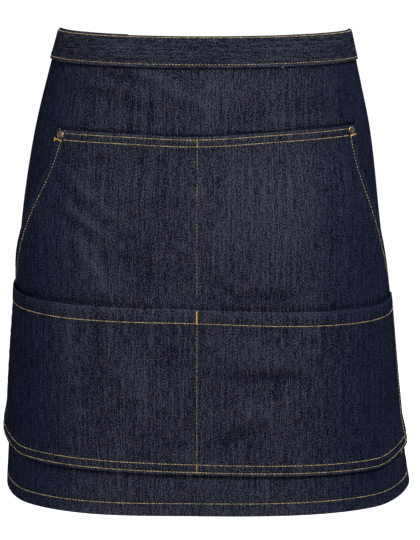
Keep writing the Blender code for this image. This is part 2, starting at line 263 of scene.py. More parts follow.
def half_girth(drop, side):
    """The length of a section from the front centre round to the back centre."""
    return float(np.interp(drop, ring_drops, ring_lengths[side][:, -1]))


print("waist girth", round(half_girth(0.0, -1) + half_girth(0.0, 1), 3), "m")

# %% [markdown]
# ## Where the seams run
#
# A sewer marks seams on the flat cloth, so they are short formulas in the cloth's own
# coordinates: a slope, a sag in the middle, a rise at the ends. The fullness of the pockets
# is how far they stand off what is behind them, none at a seam and most at a mouth.

# %% Edges and fullness of the pockets
UPPER_TILT = -0.014
UPPER_SAG = 0.003
UPPER_SAG_SPREAD = 0.060
LOWER_TILT = 0.022
BOTTOM_TILT = 0.0185
BOTTOM_END_RISE = 0.010
BOTTOM_END_RUN = 0.070
CORNER_FLARE_START = 0.8
CORNER_FLARE_LOW = 0.84
CLOSED_ROUNDING = 0.6
OPEN_ROUNDING = 1.2
OPENING_ROUNDING = 0.7
BELLY_ROUNDING = 1.6
FLATTER_GROWTH = 1.5
SIDE_ROUNDING = 1.9
HEM_LOWER = 0.0017
HEM_LOWER_LEFT = 0.0016
HEM_LOWER_RUN = 0.130


def bottom_edge(u):
    start = POCKET_HALF - BOTTOM_END_RUN
    rise = BOTTOM_END_RISE * smooth((np.abs(u) - start) / BOTTOM_END_RUN)
    return LENGTH - HEM_STRIP + BOTTOM_TILT * u - rise


def hem_edge(u):
    """The panel's lower edge, which hangs a little lower on the left."""
    return LENGTH + HEM_LOWER + HEM_LOWER_LEFT * smooth(-u / HEM_LOWER_RUN)


def lower_top_edge(u):
    return LENGTH - HEM_STRIP - LOWER_POCKET_HEIGHT + LOWER_TILT * u


def upper_top_edge(u):
    return UPPER_POCKET_DROP + UPPER_TILT * u + UPPER_SAG * np.exp(-((u / UPPER_SAG_SPREAD) ** 2))


SLANT_END = lower_top_edge(0.0) + SLANT_TUCK


def slanted_edge(side, drop):
    """How far the upper pocket reaches to one side at a drop."""
    t = np.clip((drop - UPPER_POCKET_DROP) / (SLANT_END - UPPER_POCKET_DROP), 0.0, 1.0)
    inward = 1 - t ** (SLANT_CURVE + side * SLANT_CURVE_SHIFT)
    return POCKET_HALF - CORNER_INSET * inward + side * CORNER_SHIFT * (1 - t)


def upper_stand_off(u, drop):
    start = upper_top_edge(u) + TOP_SEAM
    side = np.where(u >= 0, 1, -1)
    across = np.minimum(np.abs(u) / slanted_edge(side, drop), 1.0)
    t = (drop - start) / (SLANT_END - start)
    rising = smooth(t / UPPER_FULLEST)
    falling = mix(1, UPPER_BEHIND, smooth((t - UPPER_FULLEST) / (1 - UPPER_FULLEST)))
    low = UPPER_BEHIND * (1 - smooth((drop - SLANT_END) / (bottom_edge(u) - TOP_SEAM - SLANT_END)))
    swell = np.where(t < UPPER_FULLEST, rising, np.where(t < 1, falling, low))
    opening = np.sin(math.pi * np.clip(t, 0.0, 1.0)) ** OPENING_ROUNDING
    closed = np.abs(np.sin(math.pi * across)) ** CLOSED_ROUNDING
    opened = np.sin(math.pi / 2 * across) ** OPEN_ROUNDING
    flatter = 1 - UPPER_RIGHT_FLATTER * smooth(u / POCKET_HALF * FLATTER_GROWTH)
    return UPPER_FULLNESS * flatter * np.where(t <= 0, 0.0, swell * mix(closed, opened, opening))


def lower_stand_off(u, drop):
    top = lower_top_edge(u)
    t = np.clip((drop - top) / (bottom_edge(u) - TOP_SEAM - top), 0.0, 1.0)
    across = np.minimum(np.abs(u) / POCKET_HALF, 1.0)
    swell = (1 - t**BELLY_ROUNDING) * np.abs(np.sin(math.pi * across)) ** SIDE_ROUNDING
    near_hem = smooth((t - CORNER_FLARE_LOW) / (1 - CORNER_FLARE_LOW))
    near_side = smooth((across - CORNER_FLARE_START) / (1 - CORNER_FLARE_START))
    return LOWER_FULLNESS * swell + CORNER_FLARE * (near_hem * near_side)


def upper_back(u, drop):
    """The lift of the upper pocket's inner face."""
    return SEAM_GAP + upper_stand_off(u, drop)


def lower_back(u, drop):
    """The lift of the lower pocket's inner face."""
    return upper_back(u, drop) + CLOTH + SEAM_GAP + lower_stand_off(u, drop)


print("lower pocket", round(1000 * (bottom_edge(0.0) - lower_top_edge(0.0)), 1), "mm deep")

# %% [markdown]
# ## Small folds in the cloth
#
# Worn denim is never quite smooth. It has a few long shallow creases where the body bends,
# and it draws up a little along each seam, because the thread is tighter than the cloth. The
# creases are a short list. The puckers are two waves of different lengths, so
# that no two places look the same. They are strongest at the seam and have nearly gone two
# centimetres from it.

# %% Creases and puckers
# Each crease: where its middle is, how long and how tall it is, its slope and its depth
CREASE_COLUMNS = ("u", "drop", "length", "height", "slope", "depth")
UPPER_CREASES = (
    (-0.112, 0.163, 0.034, 0.0050, 0.71, 0.0018),
    (-0.122, 0.173, 0.034, 0.0050, 0.71, -0.0017),
    (-0.118, 0.188, 0.030, 0.0050, 0.71, 0.0017),
    (-0.132, 0.194, 0.026, 0.0060, 0.71, -0.0017),
    (-0.107, 0.240, 0.022, 0.0120, 1.35, 0.0024),
    (-0.054, 0.236, 0.024, 0.0300, 0.30, -0.0013),
    (-0.085, 0.128, 0.060, 0.0060, -0.05, -0.0012),
    (0.027, 0.266, 0.012, 0.0110, 0.60, -0.0028),
    (0.066, 0.268, 0.040, 0.0070, 0.00, -0.0019),
    (0.060, 0.180, 0.075, 0.0500, -0.05, 0.0014),
    (-0.040, 0.180, 0.040, 0.0400, 0.00, -0.0010),
    (0.140, 0.190, 0.012, 0.0700, 0.00, -0.0012),
)
PANEL_CREASES = (
    (-0.030, 0.052, 0.028, 0.0065, 0.48, 0.0026),
    (-0.075, 0.045, 0.040, 0.0045, 0.12, -0.0020),
    (-0.110, 0.058, 0.036, 0.0050, 0.12, -0.0014),
    (-0.080, 0.070, 0.050, 0.0080, 0.10, -0.0012),
    (0.020, 0.058, 0.030, 0.0180, 0.10, 0.0014),
    (0.110, 0.074, 0.070, 0.0090, -0.03, -0.0011),
    (-0.235, 0.300, 0.040, 0.0180, 0.20, -0.0010),
    (0.240, 0.330, 0.040, 0.0200, -0.20, 0.0010),
)
LOWER_CREASES = (
    (0.072, 0.352, 0.038, 0.0050, 0.00, -0.0024),
    (0.066, 0.330, 0.036, 0.0140, 0.00, 0.0013),
    (0.074, 0.385, 0.040, 0.0130, -0.20, 0.0015),
    (0.037, 0.415, 0.024, 0.0080, -0.45, -0.0021),
    (-0.132, 0.350, 0.011, 0.0700, 0.00, 0.0015),
    (-0.102, 0.350, 0.006, 0.0700, 0.00, -0.0012),
    (-0.028, 0.345, 0.008, 0.0500, 0.00, -0.0010),
    (-0.062, 0.360, 0.022, 0.0260, 0.02, 0.0011),
)
PUCKER_LONG = 0.0131
PUCKER_SHORT = 0.0077
PUCKER_DEPTH = 0.00022
PUCKER_REACH = 0.006
PUCKER_DRIFT = 1.7
PUCKER_DRIFT_RUN = 0.031
SHORT_SHARE = 0.6
STITCH_SINK = 0.00045
STITCH_DIP = 0.0011


def creases(u, drop, rows):
    """The lift that the creases add."""
    lift = np.zeros(np.broadcast(u, drop).shape)
    for row in rows:
        fold = dict(zip(CREASE_COLUMNS, row))
        along = (u - fold["u"]) / fold["length"]
        off = (drop - fold["drop"] - fold["slope"] * (u - fold["u"])) / fold["height"]
        lift = lift + fold["depth"] * np.exp(-(along**2) - off**2)
    return lift


def puckers(along, off, seed=0.0):
    """The lift that a seam adds: along is the distance on the seam, off the distance from it.

    A different seed for each seam keeps their waves apart.
    """
    drift = PUCKER_DRIFT * np.sin(along / PUCKER_DRIFT_RUN + seed)
    wave = np.sin(2 * math.pi * along / PUCKER_LONG + drift)
    wave = wave + SHORT_SHARE * np.sin(2 * math.pi * along / PUCKER_SHORT + seed)
    sink = STITCH_SINK * np.exp(-((off / STITCH_DIP) ** 2))
    return PUCKER_DEPTH * wave * np.exp(-np.abs(off) / PUCKER_REACH) - sink


print(len(UPPER_CREASES) + len(PANEL_CREASES) + len(LOWER_CREASES), "creases")

# %% [markdown]
# ## Cloth with two faces
#
# A sheet of cloth could be one surface with a Solidify modifier, but then its edges are
# square and a folded hem is no thicker than the rest. Here each piece has an outer and an
# inner grid on the same columns and rows, and the two draw together in a round rim at the
# border. Rows lie close together at edges and stitches and far apart in plain cloth. The
# grids also give each point its place on the cloth as UV, and a mark for wear and painted
# light. It is more at the edges, where it is wear and a painted highlight on the fold, more on
# the ridges of the creases and less in their hollows, which is painted light and shade with
# some rub, and less beside seams, which is painted shade.

# %% A closed sheet from two grids
RIM_STOPS = (0.0, 0.10, 0.35, 0.75, 1.0)
SEAM_STOPS = (-2.2, -1.1, -0.5, 0.0, 0.5, 1.1, 2.2)
CLOSEST_ROWS = 0.0001
# Edges are paler, partly from wear and partly as a painted highlight on the fold
EDGE_WEAR_AND_HIGHLIGHT = 0.0012
# Crease ridges are paler and their hollows darker: painted light and shade, partly rub
CREASE_RUB_AND_SHADING = 250.0


def stations(edge, seams, plain, spacing):
    """Distances from an edge as far as plain cloth: close at the rim and at each seam."""
    found = [stop * edge for stop in RIM_STOPS]
    for seam in seams:
        found += [seam + stop * STITCH_DIP for stop in SEAM_STOPS]
    found = sorted(value for value in found if value >= 0)
    while found[-1] < plain:
        found.append(found[-1] + spacing)
    merged = [found[0]]
    for value in found[1:]:
        if value - merged[-1] > CLOSEST_ROWS:
            merged.append(value)
    return np.array(merged)


def rim(distance, radius):
    """How far open a rounded edge is: 0 at the border and 1 past its radius."""
    inside = 1 - np.clip(distance / radius, 0.0, 1.0)
    return np.sqrt(np.maximum(0.0, 1 - inside**2))


def new_object(name, vertices, faces, corner_uv=None, wear_and_shading=None, material=None):
    """One smooth mesh, with its cloth coordinates and its mark for wear and painted light."""
    mesh = bpy.data.meshes.new(name)
    mesh.from_pydata(vertices, [], faces)
    if corner_uv is not None:
        layer = mesh.uv_layers.new(name="cloth")
        layer.data.foreach_set("uv", np.asarray(corner_uv, np.float32).ravel())
    if wear_and_shading is not None:
        marks = mesh.attributes.new("wear_and_shading", "FLOAT", "POINT")
        marks.data.foreach_set("value", np.asarray(wear_and_shading, np.float32))
    mesh.shade_smooth()
    if material:
        mesh.materials.append(material)
    made = bpy.data.objects.new(name, mesh)
    bpy.context.scene.collection.objects.link(made)
    return made


def two_faced(name, outer, inner, uv, wear_and_shading, material):
    """A closed sheet: outer and inner are grids of places that meet at their borders."""
    rows, columns = outer.shape[:2]
    index = np.arange(rows * columns).reshape(rows, columns)
    back = index + rows * columns
    border = np.ones((rows, columns), bool)
    border[1:-1, 1:-1] = False
    back[border] = index[border]
    quads = []
    for grid, order in ((index, (0, 1, 2, 3)), (back, (3, 2, 1, 0))):
        around = (grid[:-1, :-1], grid[1:, :-1], grid[1:, 1:], grid[:-1, 1:])
        quads.append(np.stack([around[k] for k in order], axis=-1).reshape(-1, 4))
    quads = np.concatenate(quads)
    used, quads = np.unique(quads, return_inverse=True)
    quads = quads.reshape(-1, 4)
    places = np.concatenate([outer.reshape(-1, 3), inner.reshape(-1, 3)])[used]
    cloth_uv = np.concatenate([uv.reshape(-1, 2), uv.reshape(-1, 2)])[used]
    marks = np.concatenate([wear_and_shading.ravel(), wear_and_shading.ravel()])[used]
    return new_object(name, places.tolist(), quads.tolist(), cloth_uv[quads.ravel()], marks, material)


def worn_sheet(name, u, drop, inner_lift, outer_lift, edges, material, rub_and_shade=0.0):
    """A sheet on the wrapped surface between two lifts, drawn together at its edges.

    Each edge is given as the distances from it and its radius. The last argument adds to the
    mark elsewhere: rub on the creases with painted light and shade, and painted shade beside seams.
    """
    open_share = np.ones(u.shape)
    wear_and_shading = np.zeros(u.shape)
    for distance, radius in edges:
        open_share = open_share * rim(distance, radius)
        # Paler edges: wear and a painted highlight on the fold
        wear_and_shading = np.maximum(wear_and_shading, np.exp(-distance / EDGE_WEAR_AND_HIGHLIGHT))
    wear_and_shading = wear_and_shading + rub_and_shade
    low = inner_lift(u, drop)
    high = outer_lift(u, drop)
    half = (high - low) / 2 * open_share
    outer = worn(u, drop, (low + high) / 2 + half)
    inner = worn(u, drop, (low + high) / 2 - half)
    uv = np.stack([u, -drop], axis=-1)
    return two_faced(name, outer, inner, uv, wear_and_shading, material)


def dress(piece, node):
    """The piece is attached to the root and stands for its solid, which is hidden."""
    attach(piece, "root")
    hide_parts(node)
    return piece


print("rows at a slanted edge", len(stations(CLOTH, (SLANT_STITCH,), plain=0.012, spacing=0.003)))

# %% [markdown]
# ## Indigo denim
#
# Denim is a twill of dark blue warp over pale weft. Only a little weft shows, as short pale
# flecks, and uneven warp yarns make soft streaks that run along the cloth. Both could be
# painted, but noise stretched along the yarns gives the same look at any size and needs no
# picture. The noise reads the cloth's own coordinates, in millimetres, so the streaks run
# down the panel and along the band, as the pieces were cut.
#
# The shader's sums are written as plain Python: a small class wraps one socket, and adding
# or multiplying two of them adds the node that does it.

# %% Shader sockets as Python values
class Shade:
    """A socket of a material that can be used in sums."""

    def __init__(self, tree, output=None):
        self.tree = tree
        self.output = output

    def node(self, kind, settings=(), values=(), out=0):
        """Adds a node: its settings first, then values or links for its sockets."""
        made = self.tree.nodes.new("ShaderNode" + kind)
        for name, value in dict(settings).items():
            setattr(made, name, value)
        for socket, value in dict(values).items():
            if isinstance(value, Shade):
                self.tree.links.new(value.output, made.inputs[socket])
            else:
                made.inputs[socket].default_value = value
        return Shade(self.tree, made.outputs[out])

    def output_beside(self, out):
        """Another output of the node that this socket belongs to."""
        return Shade(self.tree, self.output.node.outputs[out])

    def math(self, operation, a, b=0.0):
        return self.node("Math", {"operation": operation}, {0: a, 1: b})

    def __add__(self, other):
        return self.math("ADD", self, other)

    def __radd__(self, other):
        return self.math("ADD", other, self)

    def __sub__(self, other):
        return self.math("SUBTRACT", self, other)

    def __rsub__(self, other):
        return self.math("SUBTRACT", other, self)

    def __mul__(self, other):
        return self.math("MULTIPLY", self, other)

    def __rmul__(self, other):
        return self.math("MULTIPLY", other, self)

    def stretched(self, x, y):
        """A vector with each part multiplied."""
        return self.node("VectorMath", {"operation": "MULTIPLY"}, {0: self, 1: (x, y, 1.0)})

    def between(self, low, high):
        """0 below low, 1 above high and a soft step between them."""
        limits = {"Value": self, "From Min": low, "From Max": high}
        return self.node("MapRange", {"interpolation_type": "SMOOTHSTEP"}, limits)

    def mixes(self, a, b):
        """The colour a where this is 0, and b where it is 1."""
        return self.node("Mix", {"data_type": "RGBA"}, {0: self, 6: a, 7: b}, out=2)


def new_material(name):
    """A material, its Principled shader and a start for its sums."""
    made = bpy.data.materials.new(name)
    made.use_nodes = True
    tree = made.node_tree
    return made, tree.nodes["Principled BSDF"], Shade(tree)


def cloth_noise(coordinates, across, along, detail, shift=0.0):
    """Noise whose patches measure across by along millimetres on the cloth.

    A shift of its own for each pattern keeps their patches from lining up.
    """
    per = coordinates.stretched(1000 / across, 1000 / along)
    moved = per.node("VectorMath", {"operation": "ADD"}, {0: per, 1: (shift, shift / 2, 0.0)})
    values = {"Vector": moved, "Scale": 1.0, "Detail": detail}
    return moved.node("TexNoise", {"noise_dimensions": "2D"}, values)


# %% Colours and patterns of the denim
DENIM_DARK = (0.0018, 0.0022, 0.0048, 1.0)
YARN_BLUE = (0.0245, 0.0287, 0.0455, 1.0)
YARN_GREY = (0.0298, 0.0302, 0.0375, 1.0)
DENIM_SHADED_SIDE = (0.0118, 0.0145, 0.0290, 1.0)
TWILL_PITCH = 3.1
# Painted shade: the sides turn away from the light, so they are darker and bluer.
# Where that starts and ends, along u
SIDE_SHADE_START = 0.09
SIDE_SHADE_END = 0.185
# The size of each pattern's patches, across and along the warp, in millimetres
STREAK_SIZE = (1.5, 11.0)
SLUB_SIZE = (2.4, 75.0)
FLECK_SIZE = (1.1, 1.6)
YARN_SIZE = (1.4, 9.0)
CLOUD_SIZE = (34.0, 48.0)
# How strongly each pattern changes the tone, and how high it lies in the weave
STREAK_TONE = 1.7
FLECK_TONE = 3.5
SLUB_TONE = 1.0
CLOUD_TONE = 0.3
TWILL_TONE = 0.36
WEAR_AND_SHADING_TONE = 0.6
MIDDLE_TONE = 0.27
TONE_LOW = -0.30
TONE_HIGH = 1.35
YARN_CONTRAST = 3
STREAK_HEIGHT = 0.5
FLECK_HEIGHT = 0.7
TWILL_HEIGHT = 0.45
WEAVE_DEPTH = 0.00035
DULL = 0.86
FLECK_GLOSS = 0.15
print("longest pattern", max(SLUB_SIZE), "mm")

# %% Denim
def denim(name, lengthwise=False, tone=0.0, reach=1.0):
    """Indigo denim. Lengthwise cloth was cut with its warp along the seam.

    A higher tone is paler, and a longer reach takes the painted shade of the sides further round.
    """
    made, shader, start = new_material(name)
    cloth = start.node("UVMap", {"uv_map": "cloth"})
    # Painted shade: a mask that grows towards the sides, which turn away from the light
    side = cloth.node("SeparateXYZ", (), {0: cloth})
    side = side.math("ABSOLUTE", side).between(SIDE_SHADE_START * reach, SIDE_SHADE_END * reach)
    turn = (0.0, 0.0, math.pi / 2 if lengthwise else 0.0)
    cloth = cloth.node("VectorRotate", {"rotation_type": "EULER_XYZ"}, {"Vector": cloth, "Rotation": turn})
    streak = cloth_noise(cloth, *STREAK_SIZE, detail=2.0)
    slub = cloth_noise(cloth, *SLUB_SIZE, detail=1.0, shift=37.0)
    fleck = cloth_noise(cloth, *FLECK_SIZE, detail=1.0, shift=11.0)
    yarn = cloth_noise(cloth, *YARN_SIZE, detail=1.0, shift=53.0)
    cloud = cloth_noise(cloth, *CLOUD_SIZE, detail=2.0, shift=71.0)
    parts = cloth.node("SeparateXYZ", (), {0: cloth})
    down = parts.output_beside(1)
    slant = (parts + down) * (2000 * math.pi / TWILL_PITCH)
    twill = slant.math("SINE", slant) * 0.5 + 0.5
    # The mark: wear, painted highlights on folds and ridges, painted shade in hollows and beside seams
    wear_and_shading = cloth.node("Attribute", {"attribute_name": "wear_and_shading"}, out=2)

    tones = (streak - 0.5) * STREAK_TONE + (fleck - 0.5) * FLECK_TONE + (slub - 0.5) * SLUB_TONE
    tones = tones + (cloud - 0.5) * CLOUD_TONE + (twill - 0.5) * TWILL_TONE + wear_and_shading * WEAR_AND_SHADING_TONE
    shade = (tones + (MIDDLE_TONE + tone)).between(TONE_LOW, TONE_HIGH)
    pale = ((yarn - 0.5) * YARN_CONTRAST + 0.5).between(0.0, 1.0).mixes(YARN_BLUE, YARN_GREY)
    # Painted shade: towards the sides the pale yarns give way to a dark blue
    pale = side.mixes(pale, DENIM_SHADED_SIDE)
    colour = shade.mixes(DENIM_DARK, pale)
    made.node_tree.links.new(colour.output, shader.inputs["Base Color"])

    height = streak * STREAK_HEIGHT + fleck * FLECK_HEIGHT + twill * TWILL_HEIGHT
    weave = height.node("Bump", (), {"Strength": 0.5, "Distance": WEAVE_DEPTH, "Height": height})
    made.node_tree.links.new(weave.output, shader.inputs["Normal"])
    made.node_tree.links.new((DULL - fleck * FLECK_GLOSS).output, shader.inputs["Roughness"])
    shader.inputs["Specular IOR Level"].default_value = 0.0
    print("material", name)
    return made


panel_denim = denim("panel_denim")
band_denim = denim("band_denim", lengthwise=True, tone=-0.04, reach=1.5)
upper_denim = denim("upper_pocket_denim", tone=0.02)
lower_denim = denim("lower_pocket_denim", tone=-0.06)
tie_denim = denim("tie_denim", lengthwise=True)

# %% [markdown]
# ## Hems and seams as relief
#
# On the real apron each hem is cloth turned in and sewn, so it is thicker as far as its
# stitches and drawn in along them. This could be left to a bump map, but the step of a hem
# and the dip of a seam catch the light, so they are modelled. One function for each piece
# says how far its outside stands off; the cloth and the stitches on it both use it.

# %% Turned hems
HEM_TURN = 0.0013
FOLD_TURN = 0.0008
BAND_TURN = FOLD_TURN * 0.4
TURN_EDGE = 0.0016


def turned(distance, stitch, depth):
    """Extra cloth from an edge to just past its stitches."""
    return depth * (1 - smooth((distance - stitch - TURN_EDGE) / TURN_EDGE))


print("a turned hem adds", round(1000 * float(turned(0.0, PANEL_HEM_STITCH, HEM_TURN)), 2), "mm")

# %% Outside of the panel and the band
PANEL_TOP = CLOTH + BAND_FOLD + SEAM_GAP
BAND_HALF = FLAT_WIDTH / 2 + BAND_OVERLAP
UPPER_BOTTOM = CLOTH + SEAM_GAP
# Painted shade: a dark line beside each fold, where the fold shades the cloth.
# How wide that line is, and how strong at the pockets
SHADE_LINE_WIDTH = 0.0016
POCKET_SHADE_LINE = 1.6
MOUTH_SHADE_LINE = 0.8


def side_gap(u, half=FLAT_WIDTH / 2):
    """How far a place is from the nearer side edge."""
    return half - np.abs(u)


def upper_level(u, drop):
    """The drop that has the same place on the slanted edges, if the top edge were level."""
    top = upper_top_edge(u)
    bottom = bottom_edge(u) - UPPER_BOTTOM
    share = np.clip((drop - top) / (bottom - top), 0.0, 1.0)
    return drop + mix(UPPER_POCKET_DROP - top, LENGTH - HEM_STRIP - bottom, share)


def painted_seam_shade(u, drop):
    """Marks painted shade in lines on the panel under the band and beside the pockets' folds."""
    level = upper_level(u, drop)
    under_pocket = (u > -slanted_edge(-1, level)) & (u < slanted_edge(1, level))
    band = bump(drop - BAND_HEIGHT - SHADE_LINE_WIDTH, SHADE_LINE_WIDTH)
    pocket = bump(drop - upper_top_edge(u) + SHADE_LINE_WIDTH / 2, SHADE_LINE_WIDTH) * under_pocket
    strip = bump(drop - bottom_edge(u) - SHADE_LINE_WIDTH, SHADE_LINE_WIDTH) * (side_gap(u, POCKET_HALF) > 0)
    return band + POCKET_SHADE_LINE * pocket + strip


def panel_inner(u, drop):
    """The lift of the panel's inner face: the hems are turned to the inside."""
    hem_turn = turned(hem_edge(u) - drop, PANEL_HEM_STITCH, HEM_TURN)
    side_turn = turned(side_gap(u), PANEL_SIDE_STITCH, HEM_TURN)
    return creases(u, drop, PANEL_CREASES) - CLOTH - np.maximum(hem_turn, side_turn)


def panel_outer(u, drop):
    seam = puckers(u, hem_edge(u) - drop - PANEL_HEM_STITCH, 1.3)
    seam = seam + puckers(drop, side_gap(u) - PANEL_SIDE_STITCH, 2.1)
    return creases(u, drop, PANEL_CREASES) + seam


def band_relief(u, drop):
    """What the seams and the turned hem add to the band's front."""
    hem = BAND_HEIGHT - drop
    seam = puckers(u, hem - BAND_LOW_STITCH, 0.4) + puckers(u, drop - BAND_TOP_STITCH, 3.0)
    return seam + turned(hem, BAND_LOW_STITCH, BAND_TURN)


def band_outer(u, drop):
    return BAND_GAP + CLOTH + band_relief(u, drop)


# %% Outside of the pockets
# Between rows of stitches the cloth puffs up a little: how high, and about half how wide
CHANNEL_PUFF = 0.00035
UPPER_CHANNEL = 0.0022
BOTTOM_CHANNEL = 0.0026
HEM_CHANNEL = 0.004
# A seam that meets a row of stitches begins softly below it
SEAM_BEGINS = 0.004
DIVIDER_BEGINS = 0.002
# Behind the lower pocket the upper one goes plain: how far below the mouth, and how soon
COVER_START = 0.002
COVER_RUN = 0.010


def upper_inner(u, drop):
    return upper_back(u, drop) + creases(u, drop, UPPER_CREASES)


def upper_relief(u, drop):
    """What seams and turned edges add to the upper pocket, where the lower one leaves it bare."""
    level = upper_level(u, drop)
    down = drop - upper_top_edge(u)
    side = np.minimum(slanted_edge(-1, level) + u, slanted_edge(1, level) - u)
    turn = np.maximum(turned(down, UPPER_STITCHES[1], FOLD_TURN), turned(side, SLANT_STITCH, FOLD_TURN))
    seam = sum(puckers(u, down - row, 0.8 + row * 200) for row in UPPER_STITCHES)
    seam = seam + puckers(drop, side - SLANT_STITCH, 1.1) * smooth((down - UPPER_STITCHES[1]) / SEAM_BEGINS)
    seam = seam + puckers(drop, u, 0.3) * smooth((down - UPPER_STITCHES[0]) / DIVIDER_BEGINS)
    channel = CHANNEL_PUFF * bump(down - sum(UPPER_STITCHES) / 2, UPPER_CHANNEL)
    bare = 1 - smooth((drop - lower_top_edge(u) - COVER_START) / COVER_RUN)
    return bare * (turn + seam + channel)


def upper_outer(u, drop):
    return upper_inner(u, drop) + CLOTH + upper_relief(u, drop)


def lower_inner(u, drop):
    return lower_back(u, drop) + creases(u, drop, LOWER_CREASES)


def lower_relief(u, drop):
    """What seams and turned edges add to the lower pocket."""
    down = drop - lower_top_edge(u)
    up = bottom_edge(u) - drop
    side = side_gap(u, POCKET_HALF)
    turn = np.maximum(turned(down, LOWER_HEM_STITCH, FOLD_TURN), turned(up, BOTTOM_STITCHES[1], FOLD_TURN))
    turn = np.maximum(turn, turned(side, SIDE_STITCH, FOLD_TURN))
    seam = puckers(u, down - LOWER_HEM_STITCH, 0.5) + puckers(drop, u, 1.5)
    seam = seam + sum(puckers(u, up - row, 1.9 + row * 100) for row in BOTTOM_STITCHES)
    below_hem = smooth((down - LOWER_HEM_STITCH) / SEAM_BEGINS)
    seam = seam + puckers(drop, side - SIDE_STITCH, 2.7) * below_hem
    channel = bump(up - sum(BOTTOM_STITCHES) / 2, BOTTOM_CHANNEL)
    channel = channel + bump(down - LOWER_HEM_STITCH / 2, HEM_CHANNEL)
    return turn + seam + CHANNEL_PUFF * channel


def lower_outer(u, drop):
    return lower_inner(u, drop) + CLOTH + lower_relief(u, drop)


hem_middle = lower_top_edge(0.1) + LOWER_HEM_STITCH / 2
print("hem at the pocket mouth", round(float(lower_relief(0.1, hem_middle)) * 1000, 2), "mm")

# %% [markdown]
# ## The panel
#
# The panel is one rectangle of denim, hemmed on three sides and held by the band on the
# fourth. It could be draped by a simulation, but the photographed shape is already known
# from the sections, so the cloth is laid straight on them.

# %% Rows between two edges
CLOTH_STEP = 0.0031
PLAIN_RIM = np.array([0.0, 0.0003, 0.0009, 0.0020])
FOLD_RIM = CLOTH * 0.8


def spread(near_stops, far_stops, length, spacing=CLOTH_STEP):
    """Shares and offsets of rows: given steps from each edge, and even rows between."""
    count = max(2, round((length - near_stops[-1] - far_stops[-1]) / spacing) - 1)
    t = np.arange(1, count + 1) / (count + 1)
    share = np.concatenate([np.zeros(len(near_stops)), t, np.ones(len(far_stops))])
    offset = np.concatenate([near_stops, mix(near_stops[-1], -far_stops[-1], t), -far_stops[::-1]])
    return share, offset


# %% Panel
def make_panel():
    half = FLAT_WIDTH / 2
    side_stops = stations(CLOTH, (PANEL_SIDE_STITCH,), plain=0.014, spacing=CLOTH_STEP)
    hem_stops = stations(CLOTH, (PANEL_HEM_STITCH,), plain=0.018, spacing=CLOTH_STEP)
    share, offset = spread(side_stops, side_stops, FLAT_WIDTH)
    u = (mix(-half, half, share) + offset)[None, :]
    share, offset = spread(PLAIN_RIM, hem_stops, LENGTH - PANEL_TOP)
    drop = mix(PANEL_TOP, hem_edge(u), share[:, None]) + offset[:, None]
    u = np.broadcast_to(u, drop.shape)
    edges = ((hem_edge(u) - drop, CLOTH), (side_gap(u), CLOTH), (drop - PANEL_TOP, CLOTH / 2))
    # Painted light and shade on the creases, partly rub, less the painted shade beside the seams
    rub_and_shade = CREASE_RUB_AND_SHADING * creases(u, drop, PANEL_CREASES) - painted_seam_shade(u, drop)
    return worn_sheet("panel_cloth", u, drop, panel_inner, panel_outer, edges, panel_denim, rub_and_shade)


panel = dress(make_panel(), "panel")
print("panel", len(panel.data.polygons), "faces")

# %% [markdown]
# ## The waistband
#
# The band is a strip folded over the panel's top edge and sewn through near its fold and
# near its lower edge. Seen from the end it is a long narrow arch. So its rows follow that
# arch, from the inner hem over the top to the outer hem, and its columns run round the waist.

# %% Band as an arch swept round the waist
BAND_STEP = 0.0021
LEG_STEP = 0.0026
LEG_START = 0.011
LEG_ROWS = 9
INNER_LEG_START = 0.004
INNER_LEG_ROWS = 10
ARCH_STEPS = 10


def band_arch():
    """Lift and drop along the arch, and the way it faces there."""
    outer = BAND_GAP + CLOTH / 2
    inner = -CLOTH - BAND_GAP - CLOTH / 2
    radius = (outer - inner) / 2
    spring = CLOTH + BAND_FOLD
    hem_stops = stations(FOLD_RIM, (BAND_LOW_STITCH,), plain=0.008, spacing=LEG_STEP)
    top = BAND_HEIGHT - spring
    leg = BAND_HEIGHT - np.concatenate([hem_stops, np.linspace(LEG_START, top, LEG_ROWS)])
    inner_rows = np.linspace(INNER_LEG_START, top, INNER_LEG_ROWS)
    inner_leg = BAND_HEIGHT - np.concatenate([PLAIN_RIM, inner_rows])
    rows = [(inner, drop, -1.0, 0.0) for drop in inner_leg[:-1]]
    for angle in np.linspace(math.pi, 0.0, ARCH_STEPS + 1):
        out = math.cos(angle)
        up = math.sin(angle)
        rows.append(((outer + inner) / 2 + radius * out, spring - radius * up, out, -up))
    rows += [(outer, drop, 1.0, 0.0) for drop in leg[::-1][1:]]
    return np.array(rows)


def make_band():
    end_stops = stations(CLOTH, (BAND_END_STITCH,), plain=0.008, spacing=BAND_STEP)
    share, offset = spread(end_stops, end_stops, 2 * BAND_HALF, BAND_STEP)
    u = (mix(-BAND_HALF, BAND_HALF, share) + offset)[None, :]
    lift, drop, out, up = (column[:, None] for column in band_arch().T)
    u, drop, lift, out, up = np.broadcast_arrays(u, drop, lift, out, up)
    hem = BAND_HEIGHT - drop
    opened = rim(hem, FOLD_RIM) * rim(BAND_HALF - np.abs(u), CLOTH)
    inside = CLOTH / 2 * opened
    outside = inside + opened * smooth(out * 3) * band_relief(u, drop)
    outer = worn(u, drop + up * outside, lift + out * outside)
    inner = worn(u, drop - up * inside, lift - out * inside)
    # Paler folded edges: wear and a painted highlight
    wear_and_shading = np.exp(-hem / EDGE_WEAR_AND_HIGHLIGHT)
    uv = np.stack([u, drop * np.where(out < 0, 1.0, -1.0)], axis=-1)
    return two_faced("waistband_cloth", outer, inner, uv, wear_and_shading, band_denim)


band = dress(make_band(), "waistband")
print("waistband", len(band.data.polygons), "faces")

# %% [markdown]
# ## The upper pocket
#
# This pocket is a trapezium with its two slanted sides left open for the hands. Its top is
# turned under and sewn to the panel in two rows, its slanted edges are hemmed, and the rest
# runs down behind the lower pocket. The rows of the grid follow the top edge and the
# columns follow the slanted edges, so that each fold has its own rows of points.

